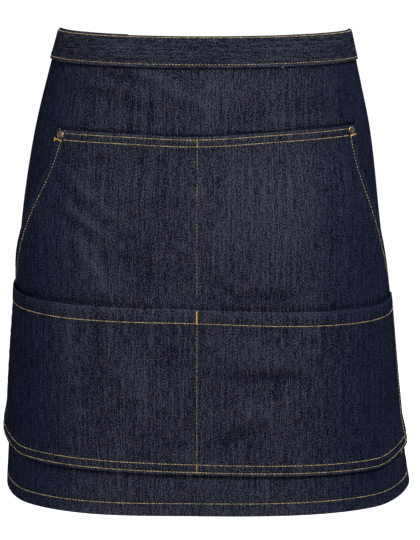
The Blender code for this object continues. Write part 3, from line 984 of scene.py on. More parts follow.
# %% Upper pocket
def make_upper_pocket():
    slant_stops = stations(CLOTH, (SLANT_STITCH,), plain=0.012, spacing=CLOTH_STEP)
    top_stops = stations(FOLD_RIM, UPPER_STITCHES, plain=0.015, spacing=CLOTH_STEP)
    share, offset = spread(top_stops, PLAIN_RIM, LENGTH - HEM_STRIP - UPPER_POCKET_DROP)
    row_share = share[:, None]
    row_offset = offset[:, None]
    level = mix(UPPER_POCKET_DROP, LENGTH - HEM_STRIP, row_share) + row_offset
    left_edge = -slanted_edge(-1, level)
    right_edge = slanted_edge(1, level)
    share, offset = spread(slant_stops, slant_stops, 2 * POCKET_HALF - CORNER_INSET)
    u = mix(left_edge, right_edge, share[None, :]) + offset[None, :]
    top = upper_top_edge(u)
    bottom = bottom_edge(u) - UPPER_BOTTOM
    drop = mix(top, bottom, row_share) + row_offset
    edges = (
        (drop - top, CLOTH),
        (u - left_edge, CLOTH),
        (right_edge - u, CLOTH),
        (bottom - drop, CLOTH / 2),
    )
    # Painted shade on the upper pocket, in a line just above the lower pocket's mouth
    mouth_shade = MOUTH_SHADE_LINE * bump(drop - lower_top_edge(u) + SHADE_LINE_WIDTH, SHADE_LINE_WIDTH)
    # Painted light and shade on the creases, partly rub, less that painted shade
    rub_and_shade = CREASE_RUB_AND_SHADING * creases(u, drop, UPPER_CREASES) - mouth_shade
    return worn_sheet("upper_pocket_cloth", u, drop, upper_inner, upper_outer, edges, upper_denim, rub_and_shade)


upper_pocket = dress(make_upper_pocket(), "upper_pocket")
print("upper pocket", len(upper_pocket.data.polygons), "faces")

# %% [markdown]
# ## The lower pocket
#
# A plain wide rectangle, open along its top, where a deep hem is sewn a finger's width below
# the fold. It is turned under and sewn twice along the bottom and once up each side, and the
# centre seam divides it. Full of air it bellies out, so its folded top catches the light
# and the gap behind it is dark.

# %% Lower pocket
def make_lower_pocket():
    side_stops = stations(CLOTH, (SIDE_STITCH,), plain=0.016, spacing=CLOTH_STEP)
    top_stops = stations(CLOTH, (LOWER_HEM_STITCH,), plain=0.019, spacing=CLOTH_STEP)
    bottom_stops = stations(CLOTH, BOTTOM_STITCHES, plain=0.016, spacing=CLOTH_STEP)
    share, offset = spread(side_stops, side_stops, 2 * POCKET_HALF)
    u = (mix(-POCKET_HALF, POCKET_HALF, share) + offset)[None, :]
    share, offset = spread(top_stops, bottom_stops, LOWER_POCKET_HEIGHT)
    top = lower_top_edge(u)
    bottom = bottom_edge(u)
    drop = mix(top, bottom, share[:, None]) + offset[:, None]
    u = np.broadcast_to(u, drop.shape)
    edges = ((drop - top, CLOTH), (bottom - drop, CLOTH), (side_gap(u, POCKET_HALF), CLOTH))
    # Painted light and shade on the creases, partly rub
    rub_and_shade = CREASE_RUB_AND_SHADING * creases(u, drop, LOWER_CREASES)
    return worn_sheet("lower_pocket_cloth", u, drop, lower_inner, lower_outer, edges, lower_denim, rub_and_shade)


lower_pocket = dress(make_lower_pocket(), "lower_pocket")
print("lower pocket", len(lower_pocket.data.polygons), "faces")

# %% [markdown]
# ## The ties
#
# At the back two straps come out from inside the band's ends and are tied behind the waist.
# The photograph doesn't show them, so they are plain. Each strap is the same flat cloth with
# two faces: it lies along the panel first, then gathers into small pleats and stands straight
# up where it enters the knot. Below the knot the two free ends hang and spread again.

# %% Straps
PLEAT_DEPTH = 0.0008
PLEATS = 3.0
TAIL_TWIST = 0.0006
TAIL_TWIST_TURN = 9
STRAP_STEP = 0.004
STRAP_END_STOPS = np.array([0.0, 0.0002, 0.0006, 0.0012, 0.004, 0.007])
# Across a strap, as shares of its width: the close rows at an edge, then even rows between
STRAP_EDGE = np.array([0.0, 0.008, 0.024, 0.048])
STRAP_PLAIN = 0.085
STRAP_PLAIN_ROWS = 9


def strap_share(length):
    """Even steps along a strap, with close ones at its ends."""
    return spread(STRAP_END_STOPS, STRAP_END_STOPS, length, STRAP_STEP)


def strap_width_share():
    """Shares across a strap, with close ones at its edges."""
    plain = np.linspace(STRAP_PLAIN, 1 - STRAP_PLAIN, STRAP_PLAIN_ROWS)
    return np.concatenate([STRAP_EDGE, plain, 1 - STRAP_EDGE[::-1]])


def pleats(across, gathered):
    """How far the pleats stand out, across a strap that is gathered by a share."""
    return PLEAT_DEPTH * gathered * np.cos(2 * math.pi * PLEATS * across)


def tie_places(side, share, across, lift):
    """Places on a tie. The share runs from the band to the knot."""
    middle = BAND_HEIGHT / 2
    start = FLAT_WIDTH / 2 + TIE_CLEARANCE
    end = half_girth(middle, side) - KNOT_WIDTH / 2 - TIE_CLEARANCE
    u = mix(start, end, share)
    gathered = smooth(1 - (end - u) / TIE_GATHER_RUN)
    offset = mix(TIE_WIDTH, TIE_GATHER, gathered) * (across - 0.5)
    lift = lift + pleats(across, gathered)
    lying = worn(side * u, middle + offset, lift)
    standing = worn(side * u, middle + 0 * offset, lift)
    standing[..., 2] -= offset
    return mix(lying, standing, smooth(share)[..., None]), end - start


def tail_places(side, share, across, lift):
    """Places on a hanging end. The share runs down from the knot."""
    width = mix(TIE_GATHER, TIE_WIDTH, smooth(share * 2))
    lean = side * TAIL_SPLAY * mix(TAIL_FIRST_SPLAY, 1, share)
    x = knot[0] + lean + (across - 0.5) * width
    y = knot[1] + side * (CLOTH + TIE_CLEARANCE) / 2 + TAIL_BOW * np.sin(math.pi * share * TAIL_BOW_TURN)
    gathered = 1 - smooth(share * 2)
    twist = TAIL_TWIST * np.sin(TAIL_TWIST_TURN * share + side) * (across - 0.5)
    y = y + lift + pleats(across, gathered) + twist
    z = knot[2] - KNOT_HEIGHT / 2 - TIE_CLEARANCE - TAIL_LENGTH * share
    return np.stack([-x, y, z + 0 * across], axis=-1), TAIL_LENGTH


def make_strap(name, side, places):
    length = places(side, np.zeros(1), np.zeros(1), 0.0)[1]
    share, offset = strap_share(length)
    share = (share + offset / length)[None, :]
    across = strap_width_share()[:, None]
    share, across = np.broadcast_arrays(share, across)
    from_end = np.minimum(share, 1 - share) * length
    from_edge = np.minimum(across, 1 - across) * TIE_GATHER
    half = CLOTH / 2 * rim(from_end, CLOTH) * rim(from_edge, CLOTH / 2)
    outer = places(side, share, across, half - CLOTH / 2)[0]
    inner = places(side, share, across, -half - CLOTH / 2)[0]
    # Paler edges: wear and a painted highlight
    wear_and_shading = np.exp(-np.minimum(from_end, from_edge) / EDGE_WEAR_AND_HIGHLIGHT)
    uv = np.stack([(across - 0.5) * TIE_WIDTH, -share * length], axis=-1)
    if side < 0:
        outer, inner, uv, wear_and_shading = (grid[:, ::-1] for grid in (outer, inner, uv, wear_and_shading))
    return two_faced(name, outer, inner, uv, wear_and_shading, tie_denim)


knot = worn(half_girth(BAND_HEIGHT / 2, 1), BAND_HEIGHT / 2, KNOT_LIFT)
straps = {}
for side, end in ((-1, "left"), (1, "right")):
    straps["tie_" + end] = make_strap(f"tie_{end}_cloth", side, tie_places)
    straps["tie_tail_" + end] = make_strap(f"tie_tail_{end}_cloth", side, tail_places)
for node, strap in straps.items():
    dress(strap, node)
print("knot at", [round(float(value), 3) for value in knot])

# %% [markdown]
# ## The knot
#
# In a single knot each strap goes round the other once. Both are gathered, so what is seen is
# two pleated rolls that cross and pull tight. A simulation could tie them, but it would be
# slow and the knot is out of the photograph, so each roll follows a few listed points
# inside the knot's box, on a smooth curve, with pleats round its section.

# %% Pleated rolls on smooth curves
ROLL_RINGS = 40
ROLL_SIDES = 28
ROLL_WIDTH = 0.0115
ROLL_DEPTH = 0.0046
ROLL_PLEAT = 0.0007
ROLL_PLEATS = 7
ROLL_ROUND = 0.03
# The wide side of a roll faces away from a point this far inside the knot
ROLL_FACING = np.array([0.0, 0.006, 0.0])
# Points in millimetres from the knot's middle: to the right as seen from behind, out and up
OVER_ROLL = (
    (13, -2.5, 0), (8, -1.5, 1), (3, -3, 4), (-4, -1, 8), (-3, 4, 8),
    (1, 6, 3), (2, 5, -4), (-2, 1, -9), (-6, 0, -12),
)
UNDER_ROLL = (
    (-13, -2.5, 0), (-9, -1, 1), (-6, 1.5, 1), (0, 2.5, 2),
    (7, 2, 1), (9, 0, -3), (7, -1, -8), (6, 0, -12),
)


def smooth_curve(points, count):
    """Places on a curve through the points, with equal shares between them."""
    points = np.array(points, float)
    padded = np.concatenate([2 * points[:1] - points[1:2], points, 2 * points[-1:] - points[-2:-1]])
    place = np.linspace(0, len(points) - 1 - 1e-9, count)
    k = place.astype(int)
    t = (place - k)[:, None]
    a, b, c, d = (padded[k + step] for step in range(4))
    return 0.5 * (2 * b + (c - a) * t + (2 * a - 5 * b + 4 * c - d) * t**2 + (3 * b - a - 3 * c + d) * t**3)


def unit(vectors):
    return vectors / np.linalg.norm(vectors, axis=-1, keepdims=True)


def roll(points):
    """Rings of places round a curve, wide and flat with pleats, and the steps between them."""
    middles = smooth_curve(points, ROLL_RINGS) * MM
    along = unit(np.gradient(middles, axis=0))
    out = middles + ROLL_FACING
    out = unit(out - along * (out * along).sum(axis=1, keepdims=True))
    across = np.cross(along, out)
    angle = np.linspace(0, 2 * math.pi, ROLL_SIDES, endpoint=False)
    pleat = ROLL_PLEAT * np.cos(ROLL_PLEATS * angle)
    wide = (ROLL_WIDTH / 2 + pleat) * np.cos(angle)
    deep = (ROLL_DEPTH / 2 + pleat) * np.sin(angle)
    rings = middles[:, None] + across[:, None] * wide[:, None] + out[:, None] * deep[:, None]
    return rings * np.array([-1.0, 1.0, 1.0]) + knot, np.linalg.norm(np.diff(middles, axis=0), axis=1)


def make_knot():
    vertices = []
    faces = []
    uv = []
    length = 0.0
    for points in (OVER_ROLL, UNDER_ROLL):
        rings, steps = roll(points)
        first = len(vertices)
        vertices += rings.reshape(-1, 3).tolist()
        run = np.concatenate([[0.0], np.cumsum(steps)])
        length += run[-1]
        for row in range(ROLL_RINGS - 1):
            for place in range(ROLL_SIDES):
                beside = (place + 1) % ROLL_SIDES
                corners = ((row, place), (row + 1, place), (row + 1, beside), (row, beside))
                faces.append([first + ring * ROLL_SIDES + spot for ring, spot in corners])
                shares = (place, place, place + 1, place + 1)
                for (ring, _), spot in zip(corners, shares):
                    uv.append((spot / ROLL_SIDES * ROLL_ROUND, run[ring]))
        for ring, order in ((0, 1), (ROLL_RINGS - 1, -1)):
            cap = [first + ring * ROLL_SIDES + place for place in range(ROLL_SIDES)]
            faces.append(cap[::order])
            uv += [(place / ROLL_SIDES * ROLL_ROUND, run[ring]) for place in range(ROLL_SIDES)]
    no_wear = np.zeros(len(vertices))
    return new_object("tie_knot_cloth", vertices, faces, uv, no_wear, tie_denim), length


knot_cloth, knot_run = make_knot()
dress(knot_cloth, "tie_knot")
print("strap in the knot", round(knot_run * 1000), "mm")

# %% [markdown]
# ## The rivets
#
# A rivet takes the strain at each top corner of the upper pocket. It is turned metal, so it
# is a profile turned about its own axis: a rolled rim, a groove, a low dome with a small
# nipple, the post through both layers and a flat plate behind. The brass is old, dark in the
# groove and worn bright on the rim, so its colour follows the profile.

# %% Antique brass
BRASS_DARK = (0.020, 0.014, 0.010, 1.0)
BRASS_BRIGHT = (0.235, 0.165, 0.095, 1.0)
TARNISH_SCALE = 900.0
BRIGHT_LOW = 0.10
BRIGHT_HIGH = 1.05
BRASS_DULL = 0.48
BRASS_GLOSS = 0.20


def antique_brass():
    made, shader, start = new_material("antique_brass")
    worn_rim = start.node("Attribute", {"attribute_name": "wear_and_shading"}, out=2)
    place = start.node("TexCoord", out=3)
    tarnish = place.node("TexNoise", (), {"Vector": place, "Scale": TARNISH_SCALE, "Detail": 3.0})
    bright = (worn_rim + (tarnish - 0.5)).between(BRIGHT_LOW, BRIGHT_HIGH)
    colour = bright.mixes(BRASS_DARK, BRASS_BRIGHT)
    made.node_tree.links.new(colour.output, shader.inputs["Base Color"])
    made.node_tree.links.new((BRASS_DULL - bright * BRASS_GLOSS).output, shader.inputs["Roughness"])
    shader.inputs["Metallic"].default_value = 1.0
    print("material", made.name)
    return made


# %% Rivets turned from a profile
RIVET_SEGMENTS = 40
SAME_POINT = 0.00001
# Each ring of the profile: its radius and height in millimetres, and how worn it is
RIVET_PROFILE = (
    (0.0, 1.75, 0.9), (0.45, 1.72, 0.9), (0.75, 1.50, 0.3), (0.95, 1.38, 0.1), (1.6, 1.34, 0.5),
    (2.3, 1.20, 0.5), (2.85, 0.95, 0.2), (3.05, 0.86, 0.0), (3.2, 0.92, 0.2), (3.45, 1.16, 0.8),
    (3.8, 1.24, 1.0), (4.15, 1.10, 1.0), (4.4, 0.75, 0.8), (4.5, 0.35, 0.5), (4.42, 0.08, 0.3),
    (4.2, 0.0, 0.1), (1.5, 0.0, 0.0), (1.5, -3.4, 0.0), (3.8, -3.4, 0.2), (4.0, -3.55, 0.5),
    (4.0, -3.95, 0.5), (3.75, -4.15, 0.5), (2.0, -4.20, 0.3), (1.4, -3.95, 0.1), (0.0, -3.90, 0.1),
)


def make_rivet(name, side):
    u = side * (slanted_edge(side, UPPER_POCKET_DROP + RIVET_DROP) - RIVET_INSET)
    drop = upper_top_edge(u) + RIVET_DROP
    cap_base = SEAM_GAP + CLOTH + RIVET_CLEARANCE
    spot = worn(u, drop, cap_base)
    out = unit(worn(u, drop, cap_base + MM) - spot)
    right = unit(np.cross(np.array([0.0, 0.0, 1.0]), out))
    up = np.cross(out, right)
    angle = np.linspace(0, 2 * math.pi, RIVET_SEGMENTS, endpoint=False)[:, None]
    circle = np.cos(angle) * right + np.sin(angle) * up
    vertices = []
    wear_and_shading = []
    for radius, height, worn_share in RIVET_PROFILE:
        vertices += (spot + circle * radius * MM + out * height * MM).tolist()
        wear_and_shading += [worn_share] * RIVET_SEGMENTS
    faces = []
    for ring in range(len(RIVET_PROFILE) - 1):
        for place in range(RIVET_SEGMENTS):
            beside = (place + 1) % RIVET_SEGMENTS
            above = ring * RIVET_SEGMENTS
            below = above + RIVET_SEGMENTS
            faces.append((above + place, below + place, below + beside, above + beside))
    rivet = new_object(name, vertices, faces, wear_and_shading=wear_and_shading, material=brass)
    bm = bmesh.new()
    bm.from_mesh(rivet.data)
    bmesh.ops.remove_doubles(bm, verts=bm.verts, dist=SAME_POINT)
    bm.to_mesh(rivet.data)
    bm.free()
    return rivet


brass = antique_brass()
for side, end in ((-1, "left"), (1, "right")):
    rivet = dress(make_rivet(f"rivet_{end}_cap", side), "rivet_" + end)
    print(rivet.name, len(rivet.data.vertices), "points")

# %% [markdown]
# ## Gold thread
#
# The contrast stitching draws the whole apron: every seam is a row of gold dashes. They could
# be a dashed texture, but real stitches stand proud between two holes and catch the light
# each on its own. So each stitch is a small mesh of its own: a round thread from hole to
# hole that dips into the cloth at both ends, leaning a little, as a machine leaves it. All
# the stitches of one seam group are joined in one piece.

# %% Thread material
THREAD_TWIST = 9000
TWIST_ROUND = 6.283
OWN_TONE = 0.75
STRAND_TONE = 0.25


def thread(name, dark, pale):
    """Spun thread: a twist along it, and a tone for each stitch from the mark for wear."""
    made, shader, start = new_material(name)
    along = start.node("UVMap", {"uv_map": "cloth"})
    parts = along.node("SeparateXYZ", (), {0: along})
    round_it = parts.output_beside(1)
    twist = parts * THREAD_TWIST + round_it * TWIST_ROUND
    strand = twist.math("SINE", twist) * 0.5 + 0.5
    own = start.node("Attribute", {"attribute_name": "wear_and_shading"}, out=2)
    colour = (own * OWN_TONE + strand * STRAND_TONE).between(0.0, 1.0).mixes(dark, pale)
    made.node_tree.links.new(colour.output, shader.inputs["Base Color"])
    bumped = strand.node("Bump", (), {"Strength": 0.5, "Distance": 0.0001, "Height": strand})
    made.node_tree.links.new(bumped.output, shader.inputs["Normal"])
    shader.inputs["Roughness"].default_value = 0.55
    shader.inputs["Specular IOR Level"].default_value = 0.35
    print("material", name)
    return made


gold = thread("gold_thread", dark=(0.100, 0.076, 0.034, 1.0), pale=(0.300, 0.238, 0.112, 1.0))
brown = thread("divider_thread", dark=(0.085, 0.054, 0.017, 1.0), pale=(0.225, 0.148, 0.050, 1.0))
orange = thread("orange_thread", dark=(0.230, 0.115, 0.018, 1.0), pale=(0.460, 0.270, 0.060, 1.0))

# %% Stitches as small round threads
THREAD_RADIUS = 0.00033
THREAD_SIDES = 6
THREAD_RINGS = 6
STITCH_PITCH = 0.0034
STITCH_LENGTH = 0.0035
DIVIDER_LENGTH = 0.0031
DIVIDER_RADIUS = 0.00028
SINGLE_LENGTH = 0.0026
STITCH_LEAN = 0.00012
LEAN_SPREAD = 0.6
# Shares of the thread's radius: how far a stitch stands up, dives at its ends and thins there
STITCH_RISE = 0.75
STITCH_DIVE = 2.0
STITCH_TAPER = 0.35
chance = np.random.default_rng(7)


def threads(name, rows, material, radius=THREAD_RADIUS):
    """All stitches of some seams: each row has starts, ends and outward directions."""
    start, end, out = (np.concatenate([row[k] for row in rows]) for k in range(3))
    out = unit(out)
    across = unit(np.cross(end - start, out))
    lean = (STITCH_LEAN * (1 + LEAN_SPREAD * chance.standard_normal(len(start))))[:, None] * across
    start = start - lean
    end = end + lean
    t = np.linspace(0, 1, THREAD_RINGS)
    dip = np.abs(2 * t - 1) ** 3
    middles = mix(start[:, None], end[:, None], t[None, :, None])
    middles = middles + out[:, None] * (radius * (STITCH_RISE - STITCH_DIVE * dip))[None, :, None]
    angle = np.linspace(0, 2 * math.pi, THREAD_SIDES, endpoint=False)
    thick = (radius * (1 - STITCH_TAPER * dip))[None, :, None, None]
    circle = across[:, None] * np.cos(angle)[:, None] + out[:, None] * np.sin(angle)[:, None]
    places = middles[:, :, None] + circle[:, None] * thick
    count = len(start)
    index = np.arange(count * THREAD_RINGS * THREAD_SIDES).reshape(count, THREAD_RINGS, THREAD_SIDES)
    beside = np.roll(index, -1, axis=2)
    sides = np.stack([index[:, :-1], beside[:, :-1], beside[:, 1:], index[:, 1:]], axis=-1)
    caps = np.concatenate([index[:, 0, ::-1], index[:, -1]])
    faces = sides.reshape(-1, 4).tolist() + caps.tolist()
    length = np.linalg.norm(end - start, axis=1)
    along = (t[None, :] * length[:, None])[:, :, None] + 0 * index
    turn = np.broadcast_to(np.arange(THREAD_SIDES) / THREAD_SIDES, index.shape)
    uv = np.stack([along, turn], axis=-1).reshape(-1, 2)
    corners = np.concatenate([sides.ravel(), caps.ravel()])
    own = np.repeat(chance.random(count), THREAD_RINGS * THREAD_SIDES)
    made = new_object(name, places.reshape(-1, 3).tolist(), faces, uv[corners], own, material)
    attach(made, "root")
    return made


def stitch_row(u, drop, lift, facing=1.0, pitch=STITCH_PITCH, length=STITCH_LENGTH):
    """Starts, ends and outward directions of the stitches along one seam."""
    u, drop, lift = np.broadcast_arrays(u, drop, lift)
    places = worn(u, drop, lift)
    outward = worn(u, drop, lift + facing * MM) - places
    run = np.concatenate([[0.0], np.cumsum(np.linalg.norm(np.diff(places, axis=0), axis=1))])
    count = max(1, int(run[-1] // pitch))
    start = (np.arange(count) + 0.5) * (run[-1] / count) - length / 2

    def at(distance, values):
        return np.stack([np.interp(distance, run, values[:, k]) for k in range(3)], axis=-1)

    return at(start, places), at(start + length, places), at(start + length / 2, outward)


def across_row(low, high, step=0.001):
    """Close values from low to high."""
    return np.linspace(low, high, max(2, int(abs(high - low) / step)))


# %% Stitches of the band
BAND_MARGIN = 0.002
u = across_row(-BAND_HALF + BAND_MARGIN, BAND_HALF - BAND_MARGIN)
low = BAND_HEIGHT - BAND_LOW_STITCH
inside = -CLOTH - BAND_GAP - CLOTH
ends = across_row(BAND_TOP_STITCH, low)
band_rows = [stitch_row(u, BAND_TOP_STITCH + 0 * u, band_outer(u, BAND_TOP_STITCH + 0 * u))]
band_rows.append(stitch_row(u, low + 0 * u, band_outer(u, low + 0 * u), length=SINGLE_LENGTH))
band_rows.append(stitch_row(u, low + 0 * u, inside + 0 * u, -1.0))
for side in (-1, 1):
    end = side * (BAND_HALF - BAND_END_STITCH) + 0 * ends
    band_rows.append(stitch_row(end, ends, BAND_GAP + CLOTH + 0 * ends))
band_stitches = threads("waistband_stitches", band_rows, gold)
print("band", sum(len(row[0]) for row in band_rows), "stitches")

# %% Stitches of the upper pocket
# Near its rivet a slanted row swings inwards, by this much and over this length
CORNER_LEAN = 0.006
CORNER_REACH = 0.015
SLANT_ROW_START = 0.0015
SLANT_ROW_MARGIN = 0.004
upper_rows = []
for row in UPPER_STITCHES:
    level = UPPER_POCKET_DROP + row
    first, last = ((slanted_edge(side, level) - RIVET_INSET - RIVET_RADIUS) for side in (-1, 1))
    u = across_row(-first, last)
    drop = upper_top_edge(u) + row
    upper_rows.append(stitch_row(u, drop, upper_outer(u, drop)))
for side in (-1, 1):
    start = UPPER_POCKET_DROP + UPPER_STITCHES[1] + SLANT_ROW_START
    level = across_row(start, SLANT_END - SLANT_ROW_MARGIN)
    inset = SLANT_STITCH + CORNER_LEAN * np.exp(-(level - UPPER_POCKET_DROP) / CORNER_REACH)
    u = side * (slanted_edge(side, level) - inset)
    drop = level + upper_top_edge(u) - UPPER_POCKET_DROP
    upper_rows.append(stitch_row(u, drop, upper_outer(u, drop), length=SINGLE_LENGTH))
upper_stitches = threads("upper_pocket_stitches", upper_rows, gold)
print("upper pocket", sum(len(row[0]) for row in upper_rows), "stitches")

# %% Stitches of the lower pocket
HEM_ROW_MARGIN = 0.0015
BOTTOM_MARGINS = (0.003, SIDE_STITCH)
u = across_row(-POCKET_HALF + HEM_ROW_MARGIN, POCKET_HALF - HEM_ROW_MARGIN)
lower_rows = []
drop = lower_top_edge(u) + LOWER_HEM_STITCH
lower_rows.append(stitch_row(u, drop, lower_outer(u, drop)))
for row, margin in zip(BOTTOM_STITCHES, BOTTOM_MARGINS):
    u = across_row(-POCKET_HALF + margin, POCKET_HALF - margin)
    drop = bottom_edge(u) - row
    lower_rows.append(stitch_row(u, drop, lower_outer(u, drop)))
for side in (-1, 1):
    u = side * (POCKET_HALF - SIDE_STITCH)
    drop = across_row(lower_top_edge(u) + LOWER_HEM_STITCH, bottom_edge(u) - BOTTOM_STITCHES[0])
    u = u + 0 * drop
    lower_rows.append(stitch_row(u, drop, lower_outer(u, drop)))
lower_stitches = threads("lower_pocket_stitches", lower_rows, gold)
print("lower pocket", sum(len(row[0]) for row in lower_rows), "stitches")

# %% Stitches of the divider
DIVIDER_TUCK = 0.002
divider_rows = []
upper_run = across_row(upper_top_edge(0.0) + UPPER_STITCHES[1], lower_top_edge(0.0) + DIVIDER_TUCK)
lower_run = across_row(lower_top_edge(0.0) + LOWER_HEM_STITCH, bottom_edge(0.0) - BOTTOM_STITCHES[0])
for drop, outside in ((upper_run, upper_outer), (lower_run, lower_outer)):
    middle = 0 * drop
    divider_rows.append(stitch_row(middle, drop, outside(middle, drop), length=DIVIDER_LENGTH))
divider_stitches = threads("divider_stitches", divider_rows, brown, DIVIDER_RADIUS)
print("divider", sum(len(row[0]) for row in divider_rows), "stitches")

# %% Stitches of the panel's hems
PANEL_ROW_START = 0.001
panel_rows = []
edge = FLAT_WIDTH / 2 - PANEL_SIDE_STITCH
u = across_row(-edge, edge)
drop = hem_edge(u) - PANEL_HEM_STITCH
panel_rows.append(stitch_row(u, drop, panel_outer(u, drop)))
panel_rows.append(stitch_row(u, drop, panel_inner(u, drop), -1.0))
for side in (-1, 1):
    drop = across_row(BAND_HEIGHT + PANEL_ROW_START, LENGTH - PANEL_HEM_STITCH)
    u = side * edge + 0 * drop
    panel_rows.append(stitch_row(u, drop, panel_outer(u, drop)))
    panel_rows.append(stitch_row(u, drop, panel_inner(u, drop), -1.0))
panel_stitches = threads("panel_stitches", panel_rows, gold)
print("panel", sum(len(row[0]) for row in panel_rows), "stitches")

# %% [markdown]
# ## Bar tacks
#
# Where a seam would tear first, the machine sews a short block of close zigzag in brighter
# orange thread: beside both rivets, where the divider starts, and where it crosses the hems.
# Each tack is a few threads laid side by side across a short line, made by the same helper.

# %% Bar tacks across short lines
TACK_RADIUS = 0.00030
TACK_LIFT = STITCH_SINK * 0.8


def tack(start, end, outside, count, width):
    """Close threads across the line from start to end, each given as u and drop.

    They are lifted by nearly what the seam under them sinks.
    """
    u0, drop0 = start
    u1, drop1 = end
    t = np.linspace(0, 1, count)
    length = math.hypot(u1 - u0, drop1 - drop0)
    across_u = -(drop1 - drop0) / length * width / 2
    across_drop = (u1 - u0) / length * width / 2
    u = mix(u0, u1, t)
    drop = mix(drop0, drop1, t)
    lift = outside(u, drop) + TACK_LIFT
    places = [worn(u + sign * across_u, drop + sign * across_drop, lift) for sign in (-1, 1)]
    return places[0], places[1], worn(u, drop, lift + MM) - worn(u, drop, lift)


# On the divider: an edge, how far down from it the tack starts and ends, threads and width
DIVIDER_TACKS = (
    (upper_top_edge(0.0), 0.0026, 0.0108, upper_outer, 8, 0.0013),
    (lower_top_edge(0.0), 0.0015, 0.0150, lower_outer, 22, 0.0016),
    (bottom_edge(0.0), -0.0120, -0.0026, lower_outer, 9, 0.0013),
)
tacks = []
for edge, start, end, outside, count, width in DIVIDER_TACKS:
    tacks.append(tack((0.0, edge + start), (0.0, edge + end), outside, count, width))

# Beside each rivet: u measured inwards from the slanted edge, drop from the lower seam
RIVET_TACK_START = (0.0020, -0.0004)
RIVET_TACK_END = (0.0120, 0.0010)
RIVET_TACK_THREADS = 12
RIVET_TACK_WIDTH = 0.0014
# The left tack also has a short bar across its outer end
BAR_START = (0.0016, -0.0016)
BAR_END = (0.0016, 0.0014)
BAR_THREADS = 5
BAR_WIDTH = 0.0013


def rivet_tack(side, start, end, count, width):
    reach = side * slanted_edge(side, UPPER_POCKET_DROP + UPPER_STITCHES[1])
    level = upper_top_edge(reach) + UPPER_STITCHES[1]
    places = [(reach - side * inwards, level + down) for inwards, down in (start, end)]
    return tack(*places, upper_outer, count, width)


beside_rivet = (RIVET_TACK_START, RIVET_TACK_END, RIVET_TACK_THREADS, RIVET_TACK_WIDTH)
tacks.append(rivet_tack(-1, *beside_rivet))
tacks.append(rivet_tack(-1, BAR_START, BAR_END, BAR_THREADS, BAR_WIDTH))
tacks.append(rivet_tack(1, *beside_rivet))
bar_tacks = threads("bar_tacks", tacks, orange, TACK_RADIUS)
print("bar tacks", len(tacks))

# %% Loose thread ends
LOOSE_RADIUS = 0.00025
HIP = 0.2400


def loose_end(u, drop, rise, length, turn, outside):
    """A cut end of thread that stands off the cloth: one thread from hole to tip."""
    start = worn(u, drop, outside(u, drop))
    tip_u = u + length * math.cos(turn)
    tip_drop = drop - length * math.sin(turn)
    tip = worn(tip_u, tip_drop, outside(tip_u, tip_drop) + rise)
    out = worn(u, drop, outside(u, drop) + MM) - start
    return start[None], tip[None], out[None]


left_rivet = -(slanted_edge(-1, UPPER_POCKET_DROP + RIVET_DROP) - RIVET_INSET)
rivet_level = float(upper_top_edge(left_rivet)) + RIVET_DROP
hip_hem = float(bottom_edge(HIP))
# Each end: u and drop of its hole, then how far its tip rises, its length and its direction
loose_ends = [
    loose_end(left_rivet + 0.0040, rivet_level - 0.0040, 0.0012, 0.0030, 0.4, upper_outer),
    loose_end(left_rivet + 0.0062, rivet_level - 0.0045, 0.0010, 0.0022, -0.5, upper_outer),
    loose_end(left_rivet - 0.0030, rivet_level - 0.0052, 0.0008, 0.0020, 2.4, panel_outer),
    loose_end(0.0880, BAND_HEIGHT + 0.0012, 0.0006, 0.0028, 0.2, panel_outer),
    loose_end(HIP, hip_hem - 0.0030, 0.0015, 0.0032, -2.1, lower_outer),
    loose_end(HIP - 0.0015, hip_hem - 0.0010, 0.0020, 0.0024, -2.6, lower_outer),
]
threads("loose_threads", loose_ends, gold, LOOSE_RADIUS)
print("loose ends", len(loose_ends))

# %% [markdown]
# ## The length of each tie
#
# The length of each tie, from the band to the knot, is printed. The hems are turned in, so the
# real cloth was cut a little larger.

# %% Length of each tie
for side, end in ((-1, "left"), (1, "right")):
    tie_length = tie_places(side, np.zeros(1), np.zeros(1), 0.0)[1]
    straps["tie_" + end]
    straps["tie_tail_" + end]
    print("tie", end, round(tie_length * 1000), "mm")

# %% [markdown]
# ## Floor, light and camera
#
# The photograph is a catalogue picture: a white ground, and light from above and in front, a
# little stronger on the right. A square area light above on the right does the same, with a
# weak one on the left, one behind for the other views, and a white room all round. The camera
# stands a little above the waist and looks down, and its lens was found from the photographed
# outline. The floor glows a little, so that it stays white with no shadow on it.

# %% White floor
FLOOR_DEPTH = 1.02
FLOOR_SIZE = 60.0
FLOOR_GREY = 0.15
FLOOR_GLOW = 0.95


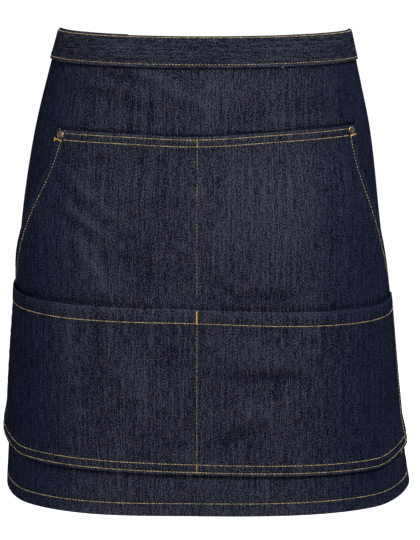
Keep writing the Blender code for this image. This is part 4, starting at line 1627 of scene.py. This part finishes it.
def plain_floor():
    made, shader, start = new_material("white_floor")
    shader.inputs["Base Color"].default_value = (FLOOR_GREY, FLOOR_GREY, FLOOR_GREY, 1.0)
    shader.inputs["Emission Color"].default_value = (1.0, 1.0, 1.0, 1.0)
    shader.inputs["Emission Strength"].default_value = FLOOR_GLOW
    shader.inputs["Roughness"].default_value = 1.0
    shader.inputs["Specular IOR Level"].default_value = 0.0
    half = FLOOR_SIZE / 2
    corners = [(-half, -half, -FLOOR_DEPTH), (half, -half, -FLOOR_DEPTH)]
    corners += [(half, half, -FLOOR_DEPTH), (-half, half, -FLOOR_DEPTH)]
    return new_object("floor", corners, [(0, 1, 2, 3)], material=made)


plain_floor()
print("floor", FLOOR_DEPTH, "m below the waist")

# %% Soft lights
def soft_light(name, place, target, size, power):
    """A square area light that points at a target."""
    data = bpy.data.lights.new(name, "AREA")
    data.size = size
    data.energy = power
    lamp = bpy.data.objects.new(name, data)
    lamp.location = place
    lamp.rotation_euler = (Vector(target) - Vector(place)).to_track_quat("-Z", "Y").to_euler()
    bpy.context.scene.collection.objects.link(lamp)
    print(name, power, "W")


MIDDLE = (0.0, 0.0, -0.25)
soft_light("key_light", (1.2, -2.2, 2.3), MIDDLE, size=0.7, power=205.0)
soft_light("fill_light", (-2.2, -2.2, 0.2), MIDDLE, size=1.2, power=34.0)
soft_light("back_light", (0.5, 2.8, 0.5), MIDDLE, size=1.4, power=120.0)

world = bpy.data.worlds.new("white_room")
world.use_nodes = True
world.node_tree.nodes["Background"].inputs["Color"].default_value = (1.0, 1.0, 1.0, 1.0)
world.node_tree.nodes["Background"].inputs["Strength"].default_value = 0.75
bpy.context.scene.world = world
bpy.context.scene.view_settings.view_transform = "Standard"

# %% Camera
CAMERA_PLACE = Vector((0.1047, -2.4978, 0.206))
CAMERA_TARGET = Vector((0.0085, 0.0, -0.2636))
camera_data = bpy.data.cameras.new("camera")
camera_data.sensor_width = 36.0
camera_data.lens = 155.67
camera_data.clip_end = 100.0
camera_data.dof.use_dof = False
camera = bpy.data.objects.new("camera", camera_data)
bpy.context.scene.collection.objects.link(camera)
camera.location = CAMERA_PLACE
camera.rotation_euler = (CAMERA_TARGET - CAMERA_PLACE).to_track_quat("-Z", "Y").to_euler()
bpy.context.scene.camera = camera
print("lens", camera_data.lens, "mm")
